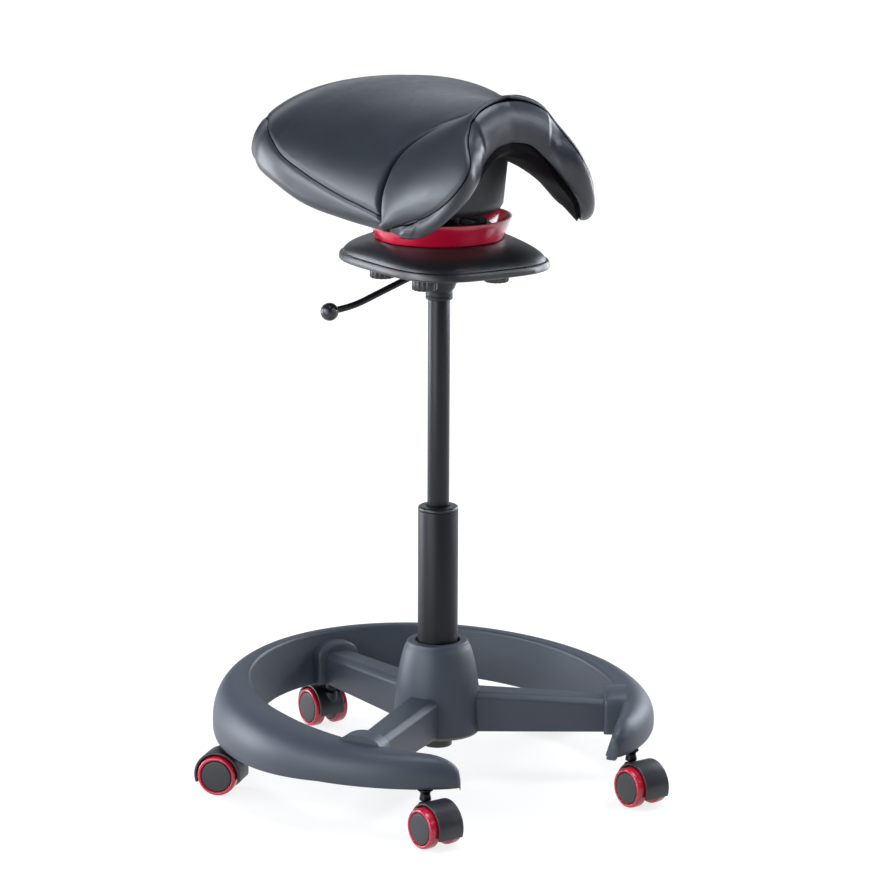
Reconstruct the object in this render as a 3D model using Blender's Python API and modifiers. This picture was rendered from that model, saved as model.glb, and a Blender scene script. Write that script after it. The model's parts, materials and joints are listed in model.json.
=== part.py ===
"""Castored saddle stool used as a drum throne.

A moulded C-shaped foot ring stands on five twin-wheel castors and carries a hub on three arms.
A gas lift rises from the hub to a plate, where a gimbal lets the saddle rock in every direction.
Units are metres, +Z is up and the sitter faces -Y.
"""

from math import cos, pi, radians, sin, sqrt

import bmesh
import bpy
import numpy as np
from mathutils import Matrix, Vector

# Fits shared by every piece
GAP = 0.0003
SEGMENTS = 24

# Castors
WHEEL_RADIUS = 0.025
WHEEL_WIDTH = 0.0175
WHEEL_SPACING = 0.014
TREAD_DEPTH = 0.005
TREAD_ROUND = 0.004
WHEEL_SEGMENTS = 20
AXLE_RADIUS = 0.0035
AXLE_SET = 0.0045
CASTOR_TRAIL = 0.020
CASTOR_CIRCLE = 0.256
HOOD_ROOM = 0.0015
HOOD_WALL = 0.0035
HOOD_NEAR_REACH = 0.015
HOOD_FAR_REACH = 0.0205
HOOD_SKIRT = 0.0105
HOOD_HEEL = 0.024
SWIVEL_DROP = 0.002
SWIVEL_DEPTH = 0.015
STEM_PIN = 0.004
STEM_SHANK = 0.0055
STEM_NECK = 0.007
STEM_NECK_HEIGHT = 0.018
STEM_REST = 0.005
STEM_WASHER = 0.0095
STEM_WASHER_HEIGHT = 0.0016
STEM_DEPTH = 0.025
SOCKET_WALL = 0.0045
# Each castor's bearing from the front and the heading of its trail at rest, sitter's left positive
CASTORS = (
    ("front_left", radians(36), radians(-86)),
    ("front_right", radians(-36), radians(-86)),
    ("side_left", radians(108), radians(49)),
    ("side_right", radians(-108), radians(131)),
    ("back", radians(180), radians(90)),
)

# Foot ring: its inner top ridge runs along two half ellipses inside an oval outline
RING_HALF_WIDTH = 0.277
RING_BACK = 0.292
RING_FRONT = 0.259
RIDGE_HALF_WIDTH = 0.225
RIDGE_BACK = 0.248
RIDGE_FRONT = 0.265
RIDGE_CENTRE_Y = 0.010
RIDGE_HEIGHT = 0.054
RIDGE_RISE = 0.045
RIDGE_DROOP = 0.028
RING_INNER_LEAN = 0.013
RING_SAG = 0.007
RING_SAG_Y = 0.050
RING_SAG_SPAN = 0.150
RING_SKIRT = 0.22
RING_SKIRT_TUCK = 0.002
RING_END_ANGLE = radians(150.5)
RING_NOSE_ANGLE = radians(10)
RING_NOSE_WIDTH = 0.5
RING_NOSE_HEIGHT = 0.4
RING_STATIONS = 45

# Hub and arms
HUB_TOP_RADIUS = 0.0385
HUB_BOTTOM_RADIUS = 0.055
HUB_HEIGHT = 0.1175
HUB_DROP = 0.004
HUB_EDGE = 0.004
HUB_RECESS = 0.003
HUB_RECESS_DEPTH = 0.006
ARM_BEARINGS = (radians(180), radians(56.5), radians(-56.5))
ARM_WIDTH = 0.044
ARM_HEIGHT = 0.051
ARM_TAPER = 0.010
ARM_CHAMFER = 0.007
ARM_TONGUE = 0.010
COLLAR_WALL = 0.008
COLLAR_STAND = 0.010

# Gas lift
TUBE_RADIUS = 0.025
TUBE_WALL = 0.002
TUBE_LENGTH = 0.284
TUBE_FLOOR = 0.005
BUSH_CAP = 0.006
BUSH_LENGTH = 0.040
CYLINDER_RADIUS = 0.0137
CYLINDER_WALL = 0.0025
CYLINDER_HELD = 0.034
LIFT_SHOWN = 0.259
LIFT_TRAVEL = 0.235
ROD_RADIUS = 0.005
PISTON_HEIGHT = 0.008
BEARING_RADIUS = 0.015
BEARING_HEIGHT = 0.006
END_CAP_RADIUS = 0.0185
END_CAP_HEIGHT = 0.019
VALVE_RADIUS = 0.004
VALVE_LENGTH = 0.014
VALVE_SHOWN = 0.006
VALVE_TRAVEL = 0.004

# Mechanism and plate
SOCKET_COLLAR = 0.0167
SOCKET_COLLAR_HEIGHT = 0.009
SOCKET_DEPTH = 0.023
SOCKET_FLARE = 0.038
SOCKET_HEIGHT = 0.041
BLOCK_HALF_X = 0.062
BLOCK_HALF_Y = 0.066
BLOCK_HEIGHT = 0.0156
PLATE_HALF_X = 0.107
PLATE_HALF_Y = 0.126
PLATE_POWER = 3.3
PLATE_FORWARD = 0.010
PLATE_RIM = 0.010
PLATE_WALL = 0.009
PLATE_DOME = 0.0315
BOSS_RADIUS = 0.062
BOSS_HEIGHT = 0.017
COLLAR_BOTTOM_RADIUS = 0.079
COLLAR_TOP_RADIUS = 0.089
COLLAR_HEIGHT = 0.027
COLLAR_SHEET = 0.0025
KNOB_X = 0.052
KNOB_Y = 0.048
KNOB_RADIUS = 0.0155
KNOB_HEIGHT = 0.0165
KNOB_RIBS = 12
KNOB_STUD = 0.004
KNOB_STUD_LENGTH = 0.012
LEVER_RADIUS = 0.004
LEVER_PIVOT = 0.024
LEVER_PLAY = 0.0015
LEVER_DROP = 0.0045
LEVER_BEND_X = -0.036
LEVER_REACH = 0.122
LEVER_FALL = 0.029
LEVER_TIP_REACH = 0.157
LEVER_TIP_FALL = 0.033
LEVER_PIN = 0.002
LEVER_PIN_LENGTH = 0.026
BALL_RADIUS = 0.011

# Gimbal
PIVOT_RISE = 0.003
GIMBAL_INNER = 0.029
GIMBAL_OUTER = 0.037
GIMBAL_HEIGHT = 0.014
GIMBAL_ROOM = 0.003
TRUNNION = 0.004
TRUNNION_LENGTH = 0.010
STUB_RADIUS = 0.024
POCKET_DEPTH = 0.012
BUFFER_WIDTH = 0.010
BUFFER_HEIGHT = 0.004

# Seat: heights count from the saddle's low point at the crease
SEAT_RISE = 0.172
CREASE_Y = -0.088
CREASE_DIP = 0.20
CREASE_WIDTH = 0.010
CUSHION_DEPTH = 0.038
RIM_TUCK = 0.014
RIM_DROP = 0.013
REAR_Y = (-0.088, -0.030, 0.028, 0.080, 0.110, 0.140)
REAR_HALF_WIDTH = (0.1485, 0.167, 0.184, 0.194, 0.193, 0.180)
REAR_CROWN = (0.009, 0.004, 0.004, 0.009, 0.011, 0.007)
REAR_RIM = (-0.126, -0.119, -0.108, -0.088, -0.079, -0.073)
REAR_POWER = (1.55, 1.75, 2.0, 2.1, 2.15, 2.15)
REAR_END_Y = 0.186
REAR_END_RIM = -0.067
REAR_END_POWER = 2.2
FRONT_SEAM = (
    (0.000, -0.146, 0.013),
    (0.020, -0.147, 0.011),
    (0.050, -0.152, -0.002),
    (0.064, -0.161, -0.021),
    (0.083, -0.190, -0.060),
    (0.103, -0.180, -0.092),
    (0.117, -0.158, -0.113),
    (0.128, -0.132, -0.126),
    (0.138, -0.1115, -0.134),
)
FRONT_INNER = (
    (0.000, -0.158, -0.036),
    (0.022, -0.161, -0.040),
    (0.044, -0.164, -0.058),
    (0.063, -0.172, -0.088),
    (0.090, -0.158, -0.119),
    (0.116, -0.115, -0.146),
)
FRONT_CROWN = 0.005
FRONT_FACE_CROWN = 0.005
SHELL_GAP = 0.001
SHELL_WALL = 0.028
ARCH_POINTS = 19
REAR_ROWS = 13
FRONT_ROWS = 7
NECK_HALF_X = 0.082
NECK_HALF_Y = 0.090
NECK_WAIST = 0.92
NECK_GAP = 0.0025
NECK_LIFT = 0.034
NECK_BEVEL = 0.010

# Heights that follow from the stack of pieces
SWIVEL_TOP = 2 * WHEEL_RADIUS - SWIVEL_DROP
RING_BOTTOM = SWIVEL_TOP + STEM_NECK_HEIGHT
HUB_BOTTOM = RING_BOTTOM - HUB_DROP
HUB_TOP = HUB_BOTTOM + HUB_HEIGHT
TUBE_TOP = HUB_BOTTOM + TUBE_LENGTH
BUSH_TOP = TUBE_TOP + BUSH_CAP
SOCKET_BOTTOM = BUSH_TOP + LIFT_SHOWN
CYLINDER_TOP = SOCKET_BOTTOM + SOCKET_DEPTH
CYLINDER_BOTTOM = TUBE_TOP - CYLINDER_HELD
BLOCK_BOTTOM = SOCKET_BOTTOM + SOCKET_HEIGHT
BLOCK_TOP = BLOCK_BOTTOM + BLOCK_HEIGHT
PLATE_BOTTOM = BLOCK_TOP + GAP - (PLATE_DOME - PLATE_WALL - POCKET_DEPTH)
COLLAR_BOTTOM = PLATE_BOTTOM + PLATE_DOME
BOSS_TOP = COLLAR_BOTTOM + BOSS_HEIGHT
PIVOT_Z = COLLAR_BOTTOM + PIVOT_RISE
POCKET_FLOOR = COLLAR_BOTTOM - POCKET_DEPTH
LEVER_Z = CYLINDER_TOP + VALVE_SHOWN + LEVER_RADIUS + GAP
NECK_BOTTOM = COLLAR_BOTTOM + NECK_LIFT
SEAT_Z = COLLAR_BOTTOM + SEAT_RISE

# The column stands a little behind the middle of the footprint
HOOD_RADIUS = WHEEL_RADIUS + HOOD_ROOM + HOOD_WALL
FOOTPRINT_BACK = CASTOR_CIRCLE + CASTOR_TRAIL + HOOD_RADIUS
FOOTPRINT_FRONT = -CASTOR_CIRCLE * cos(CASTORS[0][1]) - CASTOR_TRAIL - HOOD_RADIUS
COLUMN_Y = -(FOOTPRINT_BACK + FOOTPRINT_FRONT) / 2


def clear_scene():
    """Remove whatever the scene holds."""
    for obj in list(bpy.data.objects):
        bpy.data.objects.remove(obj, do_unlink=True)


def new_collection(name):
    """Link an empty collection to the scene."""
    collection = bpy.data.collections.new(name)
    bpy.context.scene.collection.children.link(collection)
    return collection


def finish(name, hex_colour, roughness, metallic=0.0, alpha=1.0):
    """Principled material of one plain finish, its colour given as sRGB hex."""
    made = bpy.data.materials.new(name)
    made.use_nodes = True
    srgb = [int(hex_colour[i : i + 2], 16) / 255 for i in (0, 2, 4)]
    linear = [c / 12.92 if c <= 0.04045 else ((c + 0.055) / 1.055) ** 2.4 for c in srgb]
    shader = made.node_tree.nodes["Principled BSDF"]
    shader.inputs["Base Color"].default_value = (*linear, 1.0)
    shader.inputs["Roughness"].default_value = roughness
    shader.inputs["Metallic"].default_value = metallic
    shader.inputs["Alpha"].default_value = alpha
    return made


def empty(name, parent=None, location=(0, 0, 0), turn=0.0):
    """A joint's frame, turned about the vertical."""
    made = bpy.data.objects.new(name, None)
    made.parent = parent
    made.location = location
    made.rotation_euler = (0, 0, turn)
    PARTS.objects.link(made)
    return made


def add_piece(name, mesh, look, parent, location=(0, 0, 0), rotation=(0, 0, 0)):
    """Link a mesh as a named piece, or as a hidden cutter when it has no look."""
    made = bpy.data.objects.new(name, mesh)
    made.parent = parent
    made.location = location
    made.rotation_euler = rotation
    if look is None:
        made.hide_render = True
        made.display_type = "WIRE"
        CUTTERS.objects.link(made)
    else:
        mesh.materials.append(look)
        PARTS.objects.link(made)
    return made


def mesh_from(name, verts, faces):
    """Mesh of the given faces with doubles merged and every face turned outwards."""
    mesh = bpy.data.meshes.new(name)
    mesh.from_pydata([tuple(map(float, v)) for v in verts], [], faces)
    work = bmesh.new()
    work.from_mesh(mesh)
    bmesh.ops.remove_doubles(work, verts=work.verts, dist=1e-6)
    bmesh.ops.recalc_face_normals(work, faces=work.faces)
    work.to_mesh(mesh)
    work.free()
    mesh.shade_smooth()
    mesh.set_sharp_from_angle(angle=radians(35))
    return mesh


def joined(name, meshes):
    """One mesh that holds several separate closed bodies, for cutters."""
    work = bmesh.new()
    for mesh in meshes:
        work.from_mesh(mesh)
    made = bpy.data.meshes.new(name)
    work.to_mesh(made)
    work.free()
    return made


def turned(name, profile, look, parent, place=(0, 0, 0), turn=(0, 0, 0), steps=SEGMENTS, ring=False):
    """Turn a profile of (radius, height) about Z; it runs down the outer side, and a ring's closes up."""
    count = len(profile)
    edges = [(i, i + 1) for i in range(count - 1)]
    if ring:
        edges.append((count - 1, 0))
    mesh = bpy.data.meshes.new(name)
    mesh.from_pydata([(r, 0.0, z) for r, z in profile], edges, [])
    made = add_piece(name, mesh, look, parent, place, turn)
    screw = made.modifiers.new("turn", "SCREW")
    screw.axis = "Z"
    screw.angle = 2 * pi
    screw.steps = steps
    screw.render_steps = steps
    screw.use_merge_vertices = True
    screw.merge_threshold = 1e-5
    screw.use_smooth_shade = True
    return made


def rod_mesh(name, radius, start, end, segments=SEGMENTS):
    """Straight round bar between two points."""
    start, end = Vector(start), Vector(end)
    along = end - start
    turn = along.to_track_quat("Z", "Y").to_matrix().to_4x4()
    place = Matrix.Translation((start + end) / 2) @ turn
    work = bmesh.new()
    bmesh.ops.create_cone(
        work,
        cap_ends=True,
        segments=segments,
        radius1=radius,
        radius2=radius,
        depth=along.length,
        matrix=place,
    )
    mesh = bpy.data.meshes.new(name)
    work.to_mesh(mesh)
    work.free()
    mesh.shade_smooth()
    mesh.set_sharp_from_angle(angle=radians(35))
    return mesh


def box_mesh(name, low, high):
    """Block between two corners."""
    work = bmesh.new()
    bmesh.ops.create_cube(work, size=1.0)
    low, high = np.array(low), np.array(high)
    for vert in work.verts:
        vert.co = (low + high) / 2 + np.array(vert.co) * (high - low)
    mesh = bpy.data.meshes.new(name)
    work.to_mesh(mesh)
    work.free()
    return mesh


def loft(name, rings):
    """Skin over closed rings of equal count, with a flat cap at each end."""
    rings = np.asarray(rings)
    count, around = rings.shape[:2]
    faces = []
    for i in range(count - 1):
        for j in range(around):
            k = (j + 1) % around
            faces.append((i * around + j, i * around + k, (i + 1) * around + k, (i + 1) * around + j))
    faces.append(tuple(range(around)))
    faces.append(tuple(range((count - 1) * around, count * around)))
    return mesh_from(name, rings.reshape(-1, 3), faces)


def shape(obj, tool, operation="DIFFERENCE"):
    """Cut a piece with a tool, or join the tool to it."""
    modifier = obj.modifiers.new(tool.name, "BOOLEAN")
    modifier.operation = operation
    modifier.solver = "EXACT"
    modifier.object = tool


def smooth_through(keys, values, at):
    """Cubic curve through values at rising keys, with slopes taken from their neighbours."""
    keys, values, at = np.asarray(keys, float), np.asarray(values, float), np.asarray(at, float)
    slopes = np.gradient(values, keys, axis=0)
    i = np.clip(np.searchsorted(keys, at, side="right") - 1, 0, len(keys) - 2)
    span = keys[i + 1] - keys[i]
    s = (at - keys[i]) / span
    if values.ndim > 1:
        span, s = span[..., None], s[..., None]
    start = (1 + 2 * s) * (1 - s) ** 2 * values[i] + s * (1 - s) ** 2 * span * slopes[i]
    return start + s * s * (3 - 2 * s) * values[i + 1] + s * s * (s - 1) * span * slopes[i + 1]


def castor_stem_place(bearing):
    """Where a castor's stem stands, from its bearing off the front."""
    return CASTOR_CIRCLE * sin(bearing), -CASTOR_CIRCLE * cos(bearing)


# Foot ring


def ring_underside(y):
    """Height of the ring's underside, which hangs a little lower at the sides."""
    return RING_BOTTOM - RING_SAG * max(0.0, 1 - ((y - RING_SAG_Y) / RING_SAG_SPAN) ** 2)


def ridge_height(y):
    """Height of the ring's ridge, which rises towards the back and droops towards the limbs' ends."""
    return RING_BOTTOM + RIDGE_HEIGHT + RIDGE_RISE * y + RIDGE_DROOP * min(0.0, y)


def ridge_point(angle):
    """Plan point and outward direction on the ridge; the angle runs from the back to the front."""
    depth = RIDGE_BACK if cos(angle) > 0 else RIDGE_FRONT
    point = np.array((RIDGE_HALF_WIDTH * sin(angle), RIDGE_CENTRE_Y + depth * cos(angle)))
    out = np.array((depth * sin(angle), RIDGE_HALF_WIDTH * cos(angle)))
    return point, out / np.linalg.norm(out)


def ring_reach(point, out):
    """Distance from the ridge to the ring's oval outline along the outward direction."""
    scale = np.array((RING_HALF_WIDTH, RING_BACK if point[1] > 0 else RING_FRONT))
    place, way = point / scale, out / scale
    along, square = float(place @ way), float(way @ way)
    return (sqrt(along * along + square * (1 - float(place @ place))) - along) / square


def ring_section(height, reach):
    """Section as (outward, up) from below the ridge: leaning inner wall, crisp ridge, rounded outer slope."""
    lower = RING_SKIRT * height
    slope = [
        (reach * sin(a) ** 0.8, lower + (height - lower) * cos(a) ** 0.9)
        for a in np.radians((16, 34, 52, 70, 84))
    ]
    foot = [(reach, 0.6 * lower), (reach - RING_SKIRT_TUCK, 0.0)]
    return np.array([(-RING_INNER_LEAN, 0.0), (-0.002, height - 0.002), (0.001, height), *slope, *foot])


def ring_rings():
    """Sections of the ring from one end round the back to the other; the noses shrink elliptically."""
    nose = RING_END_ANGLE - RING_NOSE_ANGLE
    body = np.linspace(-nose, nose, RING_STATIONS)
    tips = nose + RING_NOSE_ANGLE * np.sin(np.radians((25, 48, 68, 82, 88)))
    rings = []
    for angle in (*(-tips[::-1]), *body, *tips):
        point, out = ridge_point(angle)
        reach = ring_reach(point, out)
        low = ring_underside(point[1])
        section = ring_section(ridge_height(point[1]) - low, reach)
        k = max(0.0, (abs(angle) - nose) / RING_NOSE_ANGLE)
        shrink = sqrt(1 - k * k)
        middle = (reach - RING_INNER_LEAN) / 2
        outward = middle + (section[:, 0] - middle) * (RING_NOSE_WIDTH + (1 - RING_NOSE_WIDTH) * shrink)
        up = section[:, 1] * (RING_NOSE_HEIGHT + (1 - RING_NOSE_HEIGHT) * shrink)
        plan = point + np.outer(outward, out)
        rings.append(np.column_stack((plan, low + up)))
    return rings


def wall_distance(bearing):
    """Distance from the column to the foot of the ring's inner wall along a bearing off the front."""
    toward = np.array((sin(bearing), -cos(bearing)))
    angles = np.linspace(0, RING_END_ANGLE, 400)
    feet = [point - RING_INNER_LEAN * out for point, out in map(ridge_point, angles)]
    feet = np.array(feet) * (1 if toward[0] >= 0 else -1, 1)
    miss = np.abs(feet[:, 0] * toward[1] - feet[:, 1] * toward[0]) + 10 * (feet @ toward < 0)
    return float(feet[miss.argmin()] @ toward)


def tongue_end(bearing):
    """How far an arm's tongue runs into the ring, stopping short of a castor stem that stands on its line."""
    ends = [wall_distance(bearing) + ARM_TONGUE]
    for _, place, _ in CASTORS:
        if abs(place - bearing) < 1e-6:
            ends.append(CASTOR_CIRCLE - STEM_SHANK - SOCKET_WALL)
    return min(ends)


def arm_section(width, height, grow):
    """Arm section as (across, up) with chamfered upper edges, grown for a fit."""
    half, top, cut = width / 2 + grow, height + grow, ARM_CHAMFER
    right = [(half, -grow), (half, top - cut), (half - cut, top)]
    return right + [(-x, z) for x, z in right[::-1]]


def arm_mesh(name, bearing, grow=0.0):
    """Tapered arm from inside the hub to its tongue in the ring."""
    toward = np.array((sin(bearing), -cos(bearing)))
    across = np.array((-toward[1], toward[0]))
    start, end = HUB_TOP_RADIUS, tongue_end(bearing) + grow
    rings = []
    for distance, taper in ((start, 0.0), (end, ARM_TAPER)):
        section = arm_section(ARM_WIDTH - taper / 2, ARM_HEIGHT - taper, grow)
        rings.append([(*(toward * distance + across * x), RING_BOTTOM + z) for x, z in section])
    return loft(name, rings)


def arm_collar_mesh(name, bearing):
    """Arch-shaped collar on the ring's inner wall, round the arm."""
    toward = np.array((sin(bearing), -cos(bearing)))
    across = np.array((-toward[1], toward[0]))
    half = ARM_WIDTH / 2 + COLLAR_WALL
    crown = ARM_HEIGHT - ARM_TAPER / 2 + COLLAR_WALL
    spring = crown - 0.6 * half
    arch = [(half * cos(a), spring + (crown - spring) * sin(a)) for a in np.linspace(0, pi, 9)]
    outline = [(half, 0.0), *arch, (-half, 0.0)]
    foot = wall_distance(bearing)
    rings = []
    for distance in (foot - COLLAR_STAND, foot + ARM_TONGUE + COLLAR_WALL):
        rings.append([(*(toward * distance + across * x), RING_BOTTOM + z) for x, z in outline])
    return loft(name, rings)


def build_foot_ring(parent):
    """C-shaped ring with a collar and socket for each arm and a hole for each castor stem."""
    ring = add_piece("foot_ring", loft("foot_ring", ring_rings()), MOULDING, parent)
    collars = joined("arm_collars", [arm_collar_mesh("collar", b) for b in ARM_BEARINGS])
    shape(ring, add_piece("arm_collars", collars, None, parent), "UNION")
    sockets = joined("arm_sockets", [arm_mesh("socket", b, GAP) for b in ARM_BEARINGS])
    shape(ring, add_piece("arm_sockets", sockets, None, parent))
    holes, seats = [], []
    for _, bearing, _ in CASTORS:
        x, y = castor_stem_place(bearing)
        top = RING_BOTTOM + STEM_DEPTH + GAP
        low = RING_BOTTOM - STEM_NECK_HEIGHT
        holes.append(rod_mesh("hole", STEM_SHANK + GAP, (x, y, low), (x, y, top), 16))
        seats.append(rod_mesh("seat", STEM_WASHER + GAP, (x, y, low), (x, y, RING_BOTTOM), 16))
    shape(ring, add_piece("stem_sockets", joined("stem_sockets", holes), None, parent))
    shape(ring, add_piece("washer_seats", joined("washer_seats", seats), None, parent))


def build_base_spider(parent):
    """Conical hub with three arms and a bore for the lift's tube."""
    swell = HUB_BOTTOM_RADIUS - HUB_TOP_RADIUS
    drop = HUB_HEIGHT - 2 * HUB_EDGE
    flank = [
        (HUB_TOP_RADIUS + swell * sin(a), HUB_TOP - HUB_EDGE - drop * (1 - cos(a)) ** 0.75)
        for a in np.radians((0, 25, 50, 70, 90))
    ]
    hub = [
        (0.0, HUB_TOP),
        (HUB_TOP_RADIUS - HUB_EDGE / 2, HUB_TOP),
        *flank,
        (HUB_BOTTOM_RADIUS - HUB_EDGE, HUB_BOTTOM),
        (0.0, HUB_BOTTOM),
    ]
    spider = turned("base_spider", hub, MOULDING, parent, steps=36)
    arms = joined("hub_arms", [arm_mesh("arm", b) for b in ARM_BEARINGS])
    shape(spider, add_piece("hub_arms", arms, None, parent), "UNION")
    bore = TUBE_RADIUS + GAP
    recess = [
        (0.0, HUB_TOP + GAP),
        (bore + HUB_RECESS, HUB_TOP + GAP),
        (bore + HUB_RECESS, HUB_TOP - HUB_RECESS_DEPTH),
        (bore, HUB_TOP - HUB_RECESS_DEPTH),
        (bore, HUB_BOTTOM - GAP),
        (0.0, HUB_BOTTOM - GAP),
    ]
    shape(spider, turned("hub_bore", recess, None, parent))


# Castors


def wheel_profiles():
    """Disc and tread profiles as (radius, along the axle outwards from the castor's middle)."""
    inner = WHEEL_SPACING / 2
    outer = inner + WHEEL_WIDTH
    seat = WHEEL_RADIUS - TREAD_DEPTH
    bore = AXLE_RADIUS + GAP
    disc = [
        (0.0, outer),
        (0.85 * seat, outer - 0.0003),
        (seat - GAP, outer - 0.001),
        (seat - GAP, inner + 0.001),
        (bore, inner),
        (bore, outer - AXLE_SET + GAP),
        (0.0, outer - AXLE_SET + GAP),
    ]
    tread = [
        (seat + 0.3 * TREAD_DEPTH, outer),
        (WHEEL_RADIUS, outer - TREAD_ROUND),
        (WHEEL_RADIUS, inner + TREAD_ROUND),
        (seat, inner + 0.001),
        (seat, outer - 0.001),
    ]
    return disc, tread


def build_hood(name, pivot):
    """Hood round the axle with a web between the wheels and a boss for the stem."""
    web = WHEEL_SPACING / 2 - GAP
    room = WHEEL_RADIUS + HOOD_ROOM
    axle = Vector((CASTOR_TRAIL, 0.0, WHEEL_RADIUS))

    def across(radius, start, end, segments=24):
        return rod_mesh(name, radius, axle + Vector((0, start, 0)), axle + Vector((0, end, 0)), segments)

    drum = across(HOOD_RADIUS, -HOOD_NEAR_REACH, HOOD_FAR_REACH)
    hood = add_piece(f"{name}_hood", drum, DARK_PLASTIC, pivot)
    boss = rod_mesh(name, STEM_PIN + SOCKET_WALL, (0, 0, WHEEL_RADIUS), (0, 0, SWIVEL_TOP), 16)
    shape(hood, add_piece(f"{name}_boss", boss, None, pivot), "UNION")
    far = 2 * HOOD_FAR_REACH
    pockets = joined(name, [across(room, web, far), across(room, -far, -web)])
    shape(hood, add_piece(f"{name}_pockets", pockets, None, pivot))
    wide = 2 * HOOD_RADIUS
    upper_edge = ((wide, -HOOD_SKIRT), (-HOOD_HEEL, -HOOD_SKIRT), (-wide, HOOD_HEEL))
    profile = (*upper_edge, (-wide, -wide), (wide, -wide))
    sides = [[axle + Vector((x, y, z)) for x, z in profile] for y in (-far, far)]
    shape(hood, add_piece(f"{name}_opening", loft(name, sides), None, pivot))
    axle_hole = across(AXLE_RADIUS + GAP, -far, far, 12)
    stem_ends = (0, 0, SWIVEL_TOP - SWIVEL_DEPTH), (0, 0, SWIVEL_TOP + HOOD_WALL)
    stem_hole = rod_mesh(name, STEM_PIN + GAP, *stem_ends, 12)
    shape(hood, add_piece(f"{name}_holes", joined(name, [axle_hole, stem_hole]), None, pivot))


def build_castor(side, bearing, heading, parent):
    """Stem in the ring, and a hood that swivels on it with its axle, two discs and two treads."""
    name = f"castor_{side}"
    x, y = castor_stem_place(bearing)
    stem = [
        (0.0, RING_BOTTOM + STEM_DEPTH),
        (STEM_SHANK, RING_BOTTOM + STEM_DEPTH),
        (STEM_SHANK, RING_BOTTOM - GAP),
        (STEM_WASHER, RING_BOTTOM - GAP),
        (STEM_WASHER, RING_BOTTOM - GAP - STEM_WASHER_HEIGHT),
        (STEM_NECK, RING_BOTTOM - GAP - STEM_WASHER_HEIGHT),
        (STEM_NECK, SWIVEL_TOP + STEM_REST),
        (STEM_PIN, SWIVEL_TOP + STEM_REST),
        (STEM_PIN, SWIVEL_TOP - SWIVEL_DEPTH + GAP),
        (0.0, SWIVEL_TOP - SWIVEL_DEPTH + GAP),
    ]
    turned(f"{name}_stem", stem, STEEL, parent, (x, y, 0), steps=12)
    pivot = empty(f"{name}_swivel", parent, (x, y, 0), heading)
    build_hood(name, pivot)
    axle_end = WHEEL_SPACING / 2 + WHEEL_WIDTH - AXLE_SET
    axle = [(0.0, axle_end), (AXLE_RADIUS, axle_end), (AXLE_RADIUS, -axle_end), (0.0, -axle_end)]
    place = (CASTOR_TRAIL, 0.0, WHEEL_RADIUS)
    disc, tread = wheel_profiles()
    for end, turn in (("left", -pi / 2), ("right", pi / 2)):
        turn_out = (turn, 0, 0)
        turned(f"{name}_{end}_disc", disc, DARK_PLASTIC, pivot, place, turn_out, WHEEL_SEGMENTS)
        turned(f"{name}_{end}_tread", tread, RED_TREAD, pivot, place, turn_out, WHEEL_SEGMENTS, True)
    turned(f"{name}_axle", axle, STEEL, pivot, place, (pi / 2, 0, 0), 12)


# Gas lift


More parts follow.
